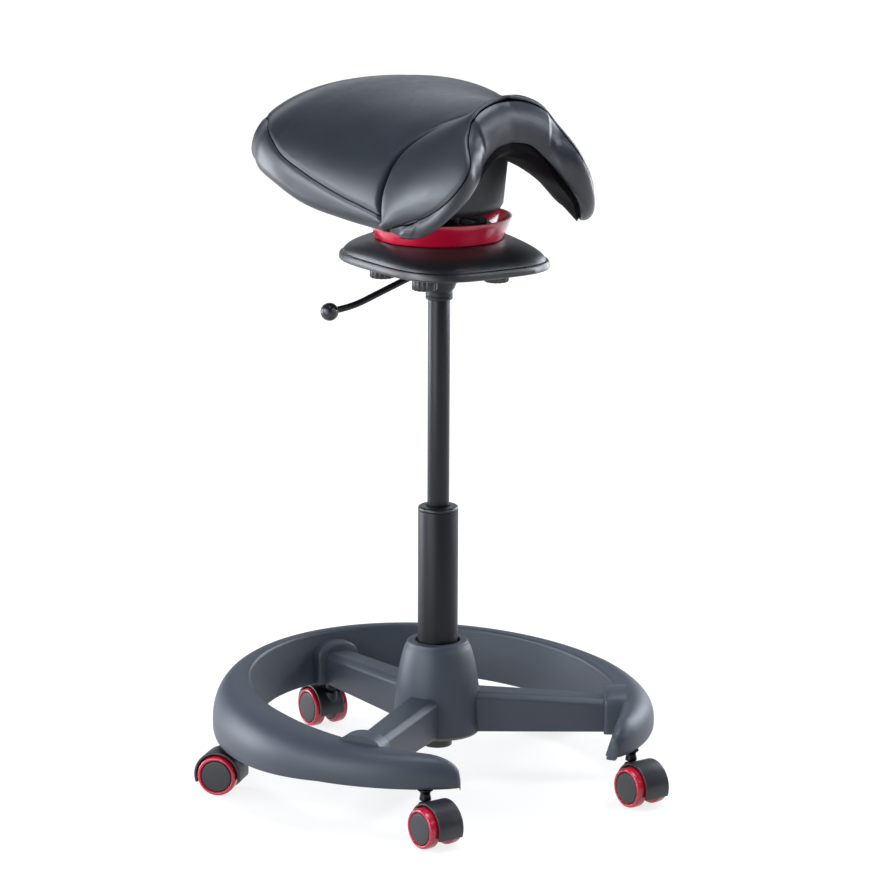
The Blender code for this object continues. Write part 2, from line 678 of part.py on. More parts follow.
def build_lift(base, rod, upper):
    """Outer tube with its bush and end cap, the rod on its thrust bearing, and the cylinder that slides."""
    inside = TUBE_RADIUS - TUBE_WALL
    floor_top = HUB_BOTTOM + TUBE_FLOOR
    cap_neck = END_CAP_RADIUS - 0.006
    tube = [
        (TUBE_RADIUS, TUBE_TOP),
        (TUBE_RADIUS, HUB_BOTTOM),
        (cap_neck + GAP, HUB_BOTTOM),
        (cap_neck + GAP, floor_top),
        (inside, floor_top),
        (inside, TUBE_TOP),
    ]
    turned("column_tube", tube, BLACK_METAL, base, ring=True)
    slide = CYLINDER_RADIUS + GAP
    bush = [
        (slide + 0.004, BUSH_TOP),
        (TUBE_RADIUS - 0.001, BUSH_TOP - 0.002),
        (TUBE_RADIUS, TUBE_TOP + 0.002),
        (TUBE_RADIUS, TUBE_TOP + GAP),
        (inside - GAP, TUBE_TOP + GAP),
        (inside - GAP, TUBE_TOP - BUSH_LENGTH),
        (slide, TUBE_TOP - BUSH_LENGTH),
        (slide, BUSH_TOP),
    ]
    turned("guide_bush", bush, DARK_PLASTIC, base, ring=True)
    cap = [
        (0.0, floor_top - GAP),
        (cap_neck, floor_top - GAP),
        (cap_neck, HUB_BOTTOM - GAP),
        (END_CAP_RADIUS, HUB_BOTTOM - GAP),
        (END_CAP_RADIUS, HUB_BOTTOM - END_CAP_HEIGHT + 0.003),
        (END_CAP_RADIUS - 0.003, HUB_BOTTOM - END_CAP_HEIGHT),
        (0.0, HUB_BOTTOM - END_CAP_HEIGHT),
    ]
    turned("tube_end_cap", cap, DARK_PLASTIC, base)
    bearing_bottom = floor_top + GAP
    bearing_top = bearing_bottom + BEARING_HEIGHT
    race = ROD_RADIUS + GAP
    bearing = [
        (BEARING_RADIUS, bearing_top),
        (BEARING_RADIUS, bearing_bottom),
        (race, bearing_bottom),
        (race, bearing_top),
    ]
    turned("thrust_bearing", bearing, STEEL, base, ring=True)
    bore = CYLINDER_RADIUS - CYLINDER_WALL
    piston_top = CYLINDER_BOTTOM + CYLINDER_HELD / 2
    foot = bearing_top + GAP
    rod_profile = [
        (0.0, piston_top),
        (bore - GAP, piston_top),
        (bore - GAP, piston_top - PISTON_HEIGHT),
        (ROD_RADIUS, piston_top - PISTON_HEIGHT),
        (ROD_RADIUS, foot + 0.003),
        (bore - 2 * GAP, foot + 0.003),
        (bore - 2 * GAP, foot),
        (ROD_RADIUS, foot),
        (ROD_RADIUS, floor_top),
        (0.0, floor_top),
    ]
    turned("piston_rod", rod_profile, STEEL, rod)
    build_cylinder(upper, bore, piston_top + LIFT_TRAVEL + PISTON_HEIGHT)
    valve_top = CYLINDER_TOP + VALVE_SHOWN
    pin = [
        (0.0, valve_top),
        (VALVE_RADIUS, valve_top),
        (VALVE_RADIUS, valve_top - VALVE_LENGTH),
        (0.0, valve_top - VALVE_LENGTH),
    ]
    turned("valve_pin", pin, STEEL, upper, steps=16)


def build_cylinder(upper, bore, chamber_top):
    """Pressure cylinder: a solid bar with its chamber and its valve hole cut out."""
    edge = 0.001
    outside = [
        (0.0, CYLINDER_TOP),
        (CYLINDER_RADIUS - edge, CYLINDER_TOP),
        (CYLINDER_RADIUS, CYLINDER_TOP - edge),
        (CYLINDER_RADIUS, CYLINDER_BOTTOM),
        (0.0, CYLINDER_BOTTOM),
    ]
    cylinder = turned("gas_cylinder", outside, BLACK_METAL, upper)
    valve_floor = CYLINDER_TOP + VALVE_SHOWN - VALVE_LENGTH - VALVE_TRAVEL - GAP
    chamber = rod_mesh("chamber", bore, (0, 0, CYLINDER_BOTTOM - GAP), (0, 0, chamber_top))
    valve_hole = rod_mesh("valve", VALVE_RADIUS + GAP, (0, 0, valve_floor), (0, 0, CYLINDER_TOP + GAP), 16)
    chambers = joined("lift_chambers", [chamber, valve_hole])
    shape(cylinder, add_piece("lift_chambers", chambers, None, upper))


# Mechanism, lever and plate


def oval_ring(half_x, half_y, power, z, forward=0.0, count=40):
    """Superellipse loop at one height, its middle a little forward."""
    angles = np.arange(count) * 2 * pi / count
    x = half_x * np.sign(np.cos(angles)) * np.abs(np.cos(angles)) ** (2 / power)
    y = half_y * np.sign(np.sin(angles)) * np.abs(np.sin(angles)) ** (2 / power)
    return np.column_stack((x, y - forward, np.full(count, z)))


def build_socket_block(upper):
    """Block under the plate with a flared socket, a slot for the lever and holes for the clamp studs."""
    rings = [oval_ring(BLOCK_HALF_X, BLOCK_HALF_Y, 5.0, z, 0.0, 32) for z in (BLOCK_BOTTOM, BLOCK_TOP)]
    block = add_piece("socket_block", loft("socket_block", rings), CAST_METAL, upper)
    collar_top = SOCKET_BOTTOM + SOCKET_COLLAR_HEIGHT
    flare = [
        (0.0, BLOCK_BOTTOM + BLOCK_HEIGHT / 2),
        (SOCKET_FLARE, BLOCK_BOTTOM + BLOCK_HEIGHT / 2),
        (SOCKET_FLARE, BLOCK_BOTTOM),
        (0.62 * SOCKET_FLARE, collar_top + 0.5 * (BLOCK_BOTTOM - collar_top)),
        (SOCKET_COLLAR - 0.0005, collar_top + 0.002),
        (SOCKET_COLLAR, collar_top),
        (SOCKET_COLLAR, SOCKET_BOTTOM),
        (0.0, SOCKET_BOTTOM),
    ]
    shape(block, turned("socket_flare", flare, None, upper, steps=SEGMENTS), "UNION")
    bore = rod_mesh("bore", CYLINDER_RADIUS + GAP, (0, 0, SOCKET_BOTTOM - GAP), (0, 0, CYLINDER_TOP + GAP))
    pin_room = rod_mesh("pin_room", VALVE_RADIUS + 4 * GAP, (0, 0, CYLINDER_TOP), (0, 0, LEVER_Z), 16)
    play = LEVER_RADIUS + LEVER_PLAY
    slot_floor = LEVER_Z - LEVER_RADIUS - LEVER_DROP
    slot = box_mesh("slot", (-2 * SOCKET_FLARE, -play, slot_floor), (2 * play, play, BLOCK_TOP + GAP))
    pin = lever_pin_mesh("pin", GAP)
    for tool in (bore, pin_room, slot, pin):
        shape(block, add_piece(f"socket_{tool.name}", tool, None, upper))
    stud_top = BLOCK_BOTTOM + KNOB_STUD_LENGTH + GAP
    studs = [
        rod_mesh("stud", KNOB_STUD + GAP, (x, y, BLOCK_BOTTOM - GAP), (x, y, stud_top), 12)
        for _, x, y in knob_places()
    ]
    shape(block, add_piece("stud_holes", joined("stud_holes", studs), None, upper))


def lever_pin_mesh(name, grow=0.0):
    """Cross pin that the lever tips on."""
    half = LEVER_PIN_LENGTH / 2 + grow
    return rod_mesh(name, LEVER_PIN + grow, (-LEVER_PIVOT, -half, LEVER_Z), (-LEVER_PIVOT, half, LEVER_Z), 12)


def lever_route():
    """Middle line of the lever: over the valve pin, out of the slot, down and level again to its ball."""
    return (
        (VALVE_RADIUS, LEVER_Z),
        (LEVER_BEND_X, LEVER_Z),
        (-LEVER_REACH, LEVER_Z - LEVER_FALL),
        (-LEVER_TIP_REACH, LEVER_Z - LEVER_TIP_FALL),
    )


def build_lever(parent):
    """Bent round bar with a hole for its pivot, a ball on its end and the cross pin."""
    route = lever_route()
    curve = bpy.data.curves.new("lever_rod", "CURVE")
    curve.dimensions = "3D"
    curve.bevel_depth = LEVER_RADIUS
    curve.bevel_resolution = 2
    curve.use_fill_caps = True
    spline = curve.splines.new("POLY")
    corners = [np.array((x, 0.0, z)) for x, z in route]
    points = [corners[0]]
    for before, corner, after in zip(corners, corners[1:], corners[2:]):
        run_in = corner + (before - corner) / np.linalg.norm(before - corner) * 2 * LEVER_RADIUS
        run_out = corner + (after - corner) / np.linalg.norm(after - corner) * 2 * LEVER_RADIUS
        for t in (0.0, 0.5, 1.0):
            points.append((1 - t) ** 2 * run_in + 2 * t * (1 - t) * corner + t * t * run_out)
    end = corners[-1]
    away = (corners[-2] - end) / np.linalg.norm(corners[-2] - end)
    points.append(end + away * (BALL_RADIUS / 2))
    spline.points.add(len(points) - 1)
    for place, point in zip(spline.points, points):
        place.co = (*point, 1.0)
    guide = bpy.data.objects.new("lever_guide", curve)
    CUTTERS.objects.link(guide)
    bpy.context.view_layer.update()
    mesh = bpy.data.meshes.new_from_object(guide.evaluated_get(bpy.context.evaluated_depsgraph_get()))
    bpy.data.objects.remove(guide)
    work = bmesh.new()
    work.from_mesh(mesh)
    bmesh.ops.remove_doubles(work, verts=work.verts, dist=1e-6)
    bmesh.ops.recalc_face_normals(work, faces=work.faces)
    work.to_mesh(mesh)
    work.free()
    mesh.materials.clear()
    rod = add_piece("lever_rod", mesh, BLACK_METAL, parent)
    shape(rod, add_piece("lever_rod_hole", lever_pin_mesh("lever_rod_hole", GAP), None, parent))
    add_piece("lever_pin", lever_pin_mesh("lever_pin"), STEEL, parent)
    work = bmesh.new()
    bmesh.ops.create_uvsphere(work, u_segments=16, v_segments=10, radius=BALL_RADIUS)
    ball = bpy.data.meshes.new("lever_ball")
    work.to_mesh(ball)
    work.free()
    ball.shade_smooth()
    knob = add_piece("lever_ball", ball, DARK_PLASTIC, parent, end)
    floor, mouth = away * (BALL_RADIUS / 2 - GAP), away * 2 * BALL_RADIUS
    hole = rod_mesh("ball_hole", LEVER_RADIUS + GAP, floor, mouth, 12)
    shape(knob, add_piece("ball_hole", hole, None, parent, end))


def knob_places():
    """Names and places of the four clamp knobs."""
    return [
        (f"clamp_knob_{row}_{side}", x * KNOB_X, y * KNOB_Y)
        for row, y in (("front", -1), ("rear", 1))
        for side, x in (("left", 1), ("right", -1))
    ]


def build_knob(name, x, y, upper):
    """Ribbed knob with its stud, turning on its own axis."""
    angles = np.arange(2 * KNOB_RIBS) * pi / KNOB_RIBS
    radii = KNOB_RADIUS * np.where(np.arange(2 * KNOB_RIBS) % 2, 0.9, 1.0)
    outline = np.column_stack((radii * np.cos(angles), radii * np.sin(angles)))
    edge = 0.002
    levels = ((0.88, -KNOB_HEIGHT), (1.0, edge - KNOB_HEIGHT), (1.0, -edge), (0.9, 0.0))
    rings = [np.column_stack((outline * scale, np.full(len(outline), z - GAP))) for scale, z in levels]
    pivot = empty(f"{name}_axis", upper, (x, y, BLOCK_BOTTOM))
    knob = add_piece(name, loft(name, rings), DARK_PLASTIC, pivot)
    stud = rod_mesh(f"{name}_stud", KNOB_STUD, (0, 0, -KNOB_HEIGHT / 2), (0, 0, KNOB_STUD_LENGTH), 12)
    shape(knob, add_piece(f"{name}_stud", stud, None, pivot), "UNION")


def build_plate(upper):
    """Domed cover with a rounded-square rim, hollow below, and a boss with the gimbal's pocket."""
    inset = 0.001
    rim_top = PLATE_BOTTOM + PLATE_RIM
    skirt = COLLAR_BOTTOM_RADIUS + PLATE_WALL
    levels = (
        (PLATE_HALF_X - inset, PLATE_HALF_Y - inset, PLATE_POWER, PLATE_BOTTOM, PLATE_FORWARD),
        (PLATE_HALF_X, PLATE_HALF_Y, PLATE_POWER, PLATE_BOTTOM + 2 * inset, PLATE_FORWARD),
        (PLATE_HALF_X - inset, PLATE_HALF_Y - inset, PLATE_POWER, rim_top - inset, PLATE_FORWARD),
        (PLATE_HALF_X - 4 * inset, PLATE_HALF_Y - 5 * inset, PLATE_POWER, rim_top + inset, PLATE_FORWARD),
        (0.94 * PLATE_HALF_X, 0.93 * PLATE_HALF_Y, PLATE_POWER, rim_top + 6 * inset, PLATE_FORWARD),
        (skirt, skirt + PLATE_FORWARD, 2.8, COLLAR_BOTTOM - PLATE_WALL / 2, PLATE_FORWARD / 2),
        (COLLAR_BOTTOM_RADIUS, COLLAR_BOTTOM_RADIUS, 2.0, COLLAR_BOTTOM - 2 * inset, 0.0),
        (COLLAR_BOTTOM_RADIUS - 4 * inset, COLLAR_BOTTOM_RADIUS - 4 * inset, 2.0, COLLAR_BOTTOM, 0.0),
        (BOSS_RADIUS + 4 * inset, BOSS_RADIUS + 4 * inset, 2.0, BOSS_TOP - 3 * inset, 0.0),
        (BOSS_RADIUS, BOSS_RADIUS, 2.0, BOSS_TOP, 0.0),
    )
    rings = [oval_ring(*level) for level in levels]
    cover = add_piece("plate_cover", loft("plate_cover", rings), DARK_PLASTIC, upper)
    hollow_top = BLOCK_TOP + GAP
    hollow = [
        oval_ring(BLOCK_HALF_X + PLATE_WALL, BLOCK_HALF_Y + 2 * PLATE_WALL, 4.0, z)
        for z in (PLATE_BOTTOM - GAP, hollow_top)
    ]
    shape(cover, add_piece("plate_hollow", loft("plate_hollow", hollow), None, upper))
    pocket = GIMBAL_OUTER + GIMBAL_ROOM
    room = rod_mesh("gimbal_pocket", pocket, (0, 0, POCKET_FLOOR), (0, 0, BOSS_TOP + GAP), 32)
    shape(cover, add_piece("gimbal_pocket", room, None, upper))
    reach = GIMBAL_OUTER + TRUNNION_LENGTH + GAP
    bearing = rod_mesh("gimbal_bearing", TRUNNION + GAP, (-reach, 0, PIVOT_Z), (reach, 0, PIVOT_Z), 16)
    shape(cover, add_piece("gimbal_bearing", bearing, None, upper))


def build_collar(upper):
    """Thin flared ring round the boss."""
    bottom, top = COLLAR_BOTTOM + GAP, COLLAR_BOTTOM + COLLAR_HEIGHT
    ring = [
        (COLLAR_TOP_RADIUS, top),
        (COLLAR_BOTTOM_RADIUS, bottom),
        (COLLAR_BOTTOM_RADIUS - COLLAR_SHEET, bottom),
        (COLLAR_TOP_RADIUS - COLLAR_SHEET, top),
    ]
    turned("red_collar", ring, RED_COLLAR, upper, steps=48, ring=True)
    outer = BOSS_RADIUS - 0.004
    buffer = [
        (outer, BOSS_TOP + BUFFER_HEIGHT),
        (outer, BOSS_TOP + GAP),
        (outer - BUFFER_WIDTH, BOSS_TOP + GAP),
        (outer - BUFFER_WIDTH, BOSS_TOP + BUFFER_HEIGHT),
    ]
    turned("buffer_ring", buffer, RUBBER, upper, steps=32, ring=True)


def build_gimbal(parent):
    """Gimbal ring with two trunnions along X, bored along Y for the neck's trunnions."""
    low, high = PIVOT_Z - GIMBAL_HEIGHT / 2, PIVOT_Z + GIMBAL_HEIGHT / 2
    profile = [(GIMBAL_OUTER, high), (GIMBAL_OUTER, low), (GIMBAL_INNER, low), (GIMBAL_INNER, high)]
    ring = turned("gimbal_ring", profile, CAST_METAL, parent, steps=32, ring=True)
    start, end = (GIMBAL_INNER + GIMBAL_OUTER) / 2, GIMBAL_OUTER + TRUNNION_LENGTH
    pins = [rod_mesh("pin", TRUNNION, (s * start, 0, PIVOT_Z), (s * end, 0, PIVOT_Z), 12) for s in (1, -1)]
    shape(ring, add_piece("gimbal_trunnions", joined("gimbal_trunnions", pins), None, parent), "UNION")
    span = 2 * GIMBAL_OUTER
    holes = rod_mesh("gimbal_holes", TRUNNION + GAP, (0, -span, PIVOT_Z), (0, span, PIVOT_Z), 16)
    shape(ring, add_piece("gimbal_holes", holes, None, parent))


# Seat


def saddle_station(y):
    """Half width, crown, rim and section power of the saddle at y; past the last key its end closes."""
    last = REAR_Y[-1]
    curves = (REAR_HALF_WIDTH, REAR_CROWN, REAR_RIM, REAR_POWER)
    half, crown, rim, power = (float(smooth_through(REAR_Y, v, min(y, last))) for v in curves)
    k = min(1.0, max(0.0, (y - last) / (REAR_END_Y - last)))
    shrink = (1 - k**REAR_END_POWER) ** (1 / REAR_END_POWER)
    end_rim = rim + (REAR_END_RIM - rim) * k
    return half * shrink, end_rim + (crown - rim) * shrink, end_rim, power, shrink


def saddle_section(y, across, depth=None):
    """Arch across the saddle at y for values from -1 to 1; with a depth, the underside's arch."""
    half, crown, rim, power, shrink = saddle_station(y)
    if depth is not None:
        half -= (RIM_TUCK + depth) * shrink
        crown -= (CUSHION_DEPTH + depth) * shrink
        rim -= RIM_DROP * shrink
    angle = np.asarray(across) * pi / 2
    x = half * np.sign(angle) * np.abs(np.sin(angle)) ** (2 / power)
    z = rim + (crown - rim) * np.abs(np.cos(angle)) ** (2 / power)
    return np.column_stack((x, np.full_like(x, y), SEAT_Z + z))


def underside_height(x, y, depth):
    """Height of the underside's arch above a plan point behind the crease."""
    half, crown, rim, power, _ = saddle_station(y)
    reach = min(1.0, abs(x) / (half - RIM_TUCK - depth))
    low, high = rim - RIM_DROP, crown - CUSHION_DEPTH - depth
    return SEAT_Z + low + (high - low) * (1 - reach**power) ** (1 / power)


def lobe_edge(points, across):
    """Mirrored edge curve of the front lobes through points given for one side."""
    points = np.array(points)
    steps = np.linalg.norm(np.diff(points, axis=0), axis=1)
    keys = np.concatenate(([0.0], np.cumsum(steps))) / steps.sum()
    curve = smooth_through(keys, points, np.abs(across))
    curve[:, 0] *= np.sign(across)
    curve[:, 2] += SEAT_Z
    return curve


def saddle_loop(outer, inner):
    """Closed loop of a cushion's section with a tucked corner at each rim."""
    corner_right = (outer[-1] + inner[-1]) / 2 + (outer[-1] - inner[-1]) * (0.28, 0.0, -0.42)
    corner_left = (outer[0] + inner[0]) / 2 + (outer[0] - inner[0]) * (0.28, 0.0, -0.42)
    return np.vstack((outer, corner_right, inner[::-1], corner_left))


def saddle_mesh(name, outers, inners, front_crown=None):
    """Cushion between outer and inner arches; each open end is closed by a strip."""
    loops = np.array([saddle_loop(o, i) for o, i in zip(outers, inners)])
    count, around = loops.shape[:2]
    n = len(outers[0])
    verts = list(loops.reshape(-1, 3))
    faces = []
    for i in range(count - 1):
        for j in range(around):
            k = (j + 1) % around
            faces.append((i * around + j, i * around + k, (i + 1) * around + k, (i + 1) * around + j))
    for row in (0, count - 1):
        start = row * around
        middle = None
        if front_crown is not None and row == count - 1:
            middle = len(verts)
            verts.extend((outers[-1] + inners[-1]) / 2 + front_crown)
        for j in range(n - 1):
            top, low = (start + j, start + j + 1), (start + 2 * n - j - 1, start + 2 * n - j)
            if middle is None:
                faces.append((*top, *low))
            else:
                faces.append((*top, middle + j + 1, middle + j))
                faces.append((middle + j, middle + j + 1, *low))
        ends = ((start + n - 1, start + n, start + n + 1), (start + 2 * n, start + 2 * n + 1, start))
        for side, (a, b, c) in enumerate(ends):
            if middle is None:
                faces.append((a, b, c))
            else:
                m = middle + (n - 1 if side == 0 else 0)
                faces.append((a, b, c, m))
    return mesh_from(name, verts, faces)


def dipped(outer, inner, distance):
    """Draw the outer arch in where it nears the crease."""
    return outer + (inner - outer) * CREASE_DIP * np.exp(-distance / CREASE_WIDTH)


def rear_rows():
    """Stations of the rear cushion from the crease to its closed end, closer together towards the end."""
    start = CREASE_Y + SHELL_GAP / 2
    return start + (REAR_END_Y - start) * (1 - (1 - np.linspace(0, 1, REAR_ROWS)) ** 1.7)


def rear_arches(across):
    """Outer and inner arches of the rear cushion."""
    inners = [saddle_section(y, across, 0.0) for y in rear_rows()]
    outers = [dipped(saddle_section(y, across), i, y - CREASE_Y) for y, i in zip(rear_rows(), inners)]
    return outers, inners


def front_arches(across, depth=0.0):
    """Outer and inner arches of the front lobes, from the crease to the front seam, crowned between."""
    start = CREASE_Y - SHELL_GAP / 2
    rear_outer, rear_inner = saddle_section(start, across), saddle_section(start, across, depth)
    seam, edge = lobe_edge(FRONT_SEAM, across), lobe_edge(FRONT_INNER, across)
    inward = (edge - seam) / np.linalg.norm(edge - seam, axis=1)[:, None]
    edge = edge + inward * depth
    out = (rear_outer + seam) / 2 - np.array((0.0, start, SEAT_Z - CUSHION_DEPTH * 4))
    out /= np.linalg.norm(out, axis=1)[:, None]
    outers, inners = [], []
    for t in np.linspace(0, 1, FRONT_ROWS):
        inner = rear_inner * (1 - t) + edge * t
        outer = rear_outer * (1 - t) + seam * t + out * FRONT_CROWN * 4 * t * (1 - t)
        outers.append(dipped(outer, inner, t * (start - FRONT_SEAM[0][1])))
        inners.append(inner)
    return outers, inners


def build_cushions(seat):
    """Rear cushion and front cushion, drawn in where they meet at the crease."""
    across = np.linspace(-1, 1, ARCH_POINTS)
    add_piece("rear_cushion", saddle_mesh("rear_cushion", *rear_arches(across)), LEATHER, seat)
    outers, inners = front_arches(across)
    front = saddle_mesh("front_cushion", outers, inners, np.array((0.0, -FRONT_FACE_CROWN, 0.0)))
    add_piece("front_cushion", front, LEATHER, seat)


def build_shell(seat):
    """Moulded shell under both cushions, following their underside a little inside the rim."""
    across = np.linspace(-1, 1, ARCH_POINTS)[1:-1]
    rows = [y for y in rear_rows() if y < REAR_Y[-1]][::-1]
    tops, lows = [
        [saddle_section(y, across, depth) for y in rows] + front_arches(across, depth)[1][:-1]
        for depth in (SHELL_GAP, SHELL_GAP + SHELL_WALL)
    ]
    add_piece("seat_shell", saddle_mesh("seat_shell", tops, lows), SHELL_PLASTIC, seat)


def build_neck(seat):
    """Oval neck under the shell, with a stub and two trunnions along Y in the gimbal."""
    count = 32
    depth = SHELL_GAP + SHELL_WALL + NECK_GAP
    angles = np.arange(count) * 2 * pi / count

    def oval(scale):
        return np.column_stack((NECK_HALF_X * scale * np.cos(angles), NECK_HALF_Y * scale * np.sin(angles)))

    def level(scale, z):
        return np.column_stack((oval(scale), np.full(count, z)))

    def under_shell(scale):
        plan = oval(scale)
        return np.column_stack((plan, [underside_height(x, y, depth) for x, y in plan]))

    waist = NECK_BOTTOM + NECK_BEVEL
    rings = [level(0.4, NECK_BOTTOM), level(0.86 * NECK_WAIST, NECK_BOTTOM), level(NECK_WAIST, waist)]
    shoulder = under_shell(1.0)
    rings.append(rings[-1] * 0.35 + shoulder * 0.65 - (0, 0, 0.002))
    rings += [under_shell(s) for s in (1.0, 0.7, 0.4, 0.15)]
    neck = add_piece("seat_neck", loft("seat_neck", rings), SHELL_PLASTIC, seat)
    low = PIVOT_Z - GIMBAL_HEIGHT / 2
    stub = rod_mesh("neck_stub", STUB_RADIUS, (0, 0, low), (0, 0, NECK_BOTTOM + NECK_BEVEL))
    shape(neck, add_piece("neck_stub", stub, None, seat), "UNION")
    reach = GIMBAL_OUTER - GAP
    pin = rod_mesh("neck_trunnions", TRUNNION, (0, -reach, PIVOT_Z), (0, reach, PIVOT_Z), 12)
    shape(neck, add_piece("neck_trunnions", pin, None, seat), "UNION")


def main():
    """Build every piece on its joint's frame."""
    base = empty("column_axis", None, (0, COLUMN_Y, 0))
    rod = empty("swivel_axis", base)
    upper = empty("lift_axis", rod)
    gimbal = empty("rock_axis", upper)
    seat = empty("roll_axis", gimbal)
    lever = empty("lever_axis", upper)
    build_foot_ring(base)
    build_base_spider(base)
    for castor in CASTORS:
        build_castor(*castor, base)
    build_lift(base, rod, upper)
    build_socket_block(upper)
    build_lever(lever)
    for name, x, y in knob_places():
        build_knob(name, x, y, upper)
    build_plate(upper)
    build_collar(upper)
    build_gimbal(gimbal)
    build_cushions(seat)
    build_shell(seat)
    build_neck(seat)


clear_scene()
PARTS = new_collection("drum_throne")
CUTTERS = new_collection("cutters")
MOULDING = finish("charcoal moulding", "4b4f59", 0.45)
DARK_PLASTIC = finish("black moulding", "2c2d31", 0.40)
SHELL_PLASTIC = finish("seat shell moulding", "1c1c20", 0.50)
BLACK_METAL = finish("black coated steel", "37373d", 0.35, 0.4)
CAST_METAL = finish("painted casting", "2a2b2e", 0.50)
STEEL = finish("zinc plated steel", "b9bcc0", 0.30, 1.0)
RED_TREAD = finish("red polyurethane", "c01f3a", 0.30)
RED_COLLAR = finish("clear red acrylic", "c8143c", 0.10, 0.0, 0.85)
RUBBER = finish("black rubber", "1a1a1a", 0.80)
LEATHER = finish("black leather", "2b2d33", 0.42)
main()
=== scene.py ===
"""Looks of a castored saddle stool used as a drum throne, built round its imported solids.

Every surface is a function of two parameters worked out as whole arrays, in metres, in the solids' own frame.
"""

import json
from math import cos, pi, radians, sin

import bmesh
import bpy
import numpy as np
from bpy.props import FloatProperty, IntProperty, PointerProperty, StringProperty
from mathutils import Matrix, Vector


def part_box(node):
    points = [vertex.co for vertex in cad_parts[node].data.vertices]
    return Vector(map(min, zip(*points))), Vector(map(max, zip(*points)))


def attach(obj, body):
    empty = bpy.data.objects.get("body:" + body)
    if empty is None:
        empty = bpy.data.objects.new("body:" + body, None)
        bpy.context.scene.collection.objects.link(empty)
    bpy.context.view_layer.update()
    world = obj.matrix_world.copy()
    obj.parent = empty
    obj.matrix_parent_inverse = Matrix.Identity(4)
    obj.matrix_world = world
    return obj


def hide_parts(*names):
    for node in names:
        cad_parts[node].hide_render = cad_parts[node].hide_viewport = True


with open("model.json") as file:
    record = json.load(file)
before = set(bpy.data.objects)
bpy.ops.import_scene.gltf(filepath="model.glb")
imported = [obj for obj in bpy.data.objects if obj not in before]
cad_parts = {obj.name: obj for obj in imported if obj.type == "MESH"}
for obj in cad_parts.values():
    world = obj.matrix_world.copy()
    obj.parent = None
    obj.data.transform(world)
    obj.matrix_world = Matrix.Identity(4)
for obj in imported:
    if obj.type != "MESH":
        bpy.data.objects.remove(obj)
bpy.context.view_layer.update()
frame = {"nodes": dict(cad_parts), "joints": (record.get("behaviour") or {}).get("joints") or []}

bl_info = {
    "name": "Saddle stool looks",
    "version": (1, 0, 0),
    "blender": (4, 5, 0),
    "location": "3D View > Sidebar > Stool",
    "description": "Builds the visible surfaces of a castored saddle stool on its packed solids",
    "category": "Object",
}

JOINTS = {joint["name"]: joint for joint in frame["joints"]}
COLUMN_Y = JOINTS["seat_swivel"]["pos_m"][1]
COLUMN = np.array((0.0, COLUMN_Y, 0.0))
CASTORS = ("front_left", "front_right", "side_left", "side_right", "back")
KNOBS = ("front_left", "front_right", "rear_left", "rear_right")
GAP = 0.0003


def low(name):
    """Lowest height of a solid."""
    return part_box(name)[0][2]


def high(name):
    """Greatest height of a solid."""
    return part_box(name)[1][2]


# Settings


class StoolSeatSettings(bpy.types.PropertyGroup):
    """Sizes and colours of the saddle."""

    leather: StringProperty(name="Leather", description="Colour of the cover, as sRGB hex", default="1e2128")
    thread: StringProperty(name="Thread", description="Colour of the stitches, as sRGB hex", default="0c0c0e")
    # The shell is dark plastic; its colour is darker than the neck's and tinted maroon, which is painted shade and a
    # painted red reflection under the arch
    shell: StringProperty(name="Shell", description="Colour of the moulded shell, as sRGB hex", default="0d090c")
    neck: StringProperty(name="Neck", description="Colour of the moulded neck, as sRGB hex", default="25262b")
    crease_roll: FloatProperty(
        name="Crease roll", description="Radius of the edges that meet in the crease", default=0.0085, unit="LENGTH"
    )
    seam_depth: FloatProperty(
        name="Seam depth", description="How far a seam draws the cover in", default=0.0015, unit="LENGTH"
    )
    seam_width: FloatProperty(
        name="Seam width", description="Half width of the hollow along a seam", default=0.0030, unit="LENGTH"
    )
    swell: FloatProperty(
        name="Swell", description="Most that the foam may swell under its cover", default=0.0030, unit="LENGTH"
    )


class StoolBaseSettings(bpy.types.PropertyGroup):
    """Sizes and colours of the foot ring, hub and castors."""

    moulding: StringProperty(name="Moulding", description="Colour of the base, as sRGB hex", default="3a3f4a")
    wheel: StringProperty(name="Wheel", description="Colour of hoods and discs, as sRGB hex", default="26272c")
    tread: StringProperty(name="Tread", description="Colour of the treads, as sRGB hex", default="d41a38")
    stations: IntProperty(name="Stations", description="Sections along the foot ring", default=221, min=40)
    ridge_round: FloatProperty(
        name="Ridge round", description="Radius of the ring's ridge", default=0.0028, unit="LENGTH"
    )


class StoolLiftSettings(bpy.types.PropertyGroup):
    """Colours of the lift, plate and collar."""

    tube: StringProperty(name="Tube", description="Colour of the outer tube, as sRGB hex", default="121217")
    cylinder: StringProperty(name="Cylinder", description="Colour of the cylinder, as sRGB hex", default="15161b")
    plate: StringProperty(name="Plate", description="Colour of the plate, as sRGB hex", default="141519")
    collar: StringProperty(name="Collar", description="Colour of the clear collar, as sRGB hex", default="e2133f")
    ribs: IntProperty(name="Ribs", description="Ribs round a clamp knob", default=14, min=6)


class StoolStageSettings(bpy.types.PropertyGroup):
    """Camera and light of the studio."""

    lens: FloatProperty(name="Lens", description="Focal length in millimetres", default=170.2)
    azimuth: FloatProperty(
        name="Azimuth", description="Turn of the view from straight ahead", default=radians(-32.88), subtype="ANGLE"
    )
    pitch: FloatProperty(name="Pitch", description="Downward tilt", default=radians(12.9), subtype="ANGLE")
    roll: FloatProperty(name="Roll", description="Lean of the picture", default=0.0044, subtype="ANGLE")
    floor_light: FloatProperty(name="Floor light", description="Light that comes back from the floor", default=0.45)
    sky_light: FloatProperty(name="Sky light", description="Light from the dim room above", default=0.10)
    floor: StringProperty(name="Floor", description="Colour of the floor, as sRGB hex", default="8f8f90")


# Materials

STITCH_OFF_MM, STITCH_PITCH_MM = 4.6, 4.8


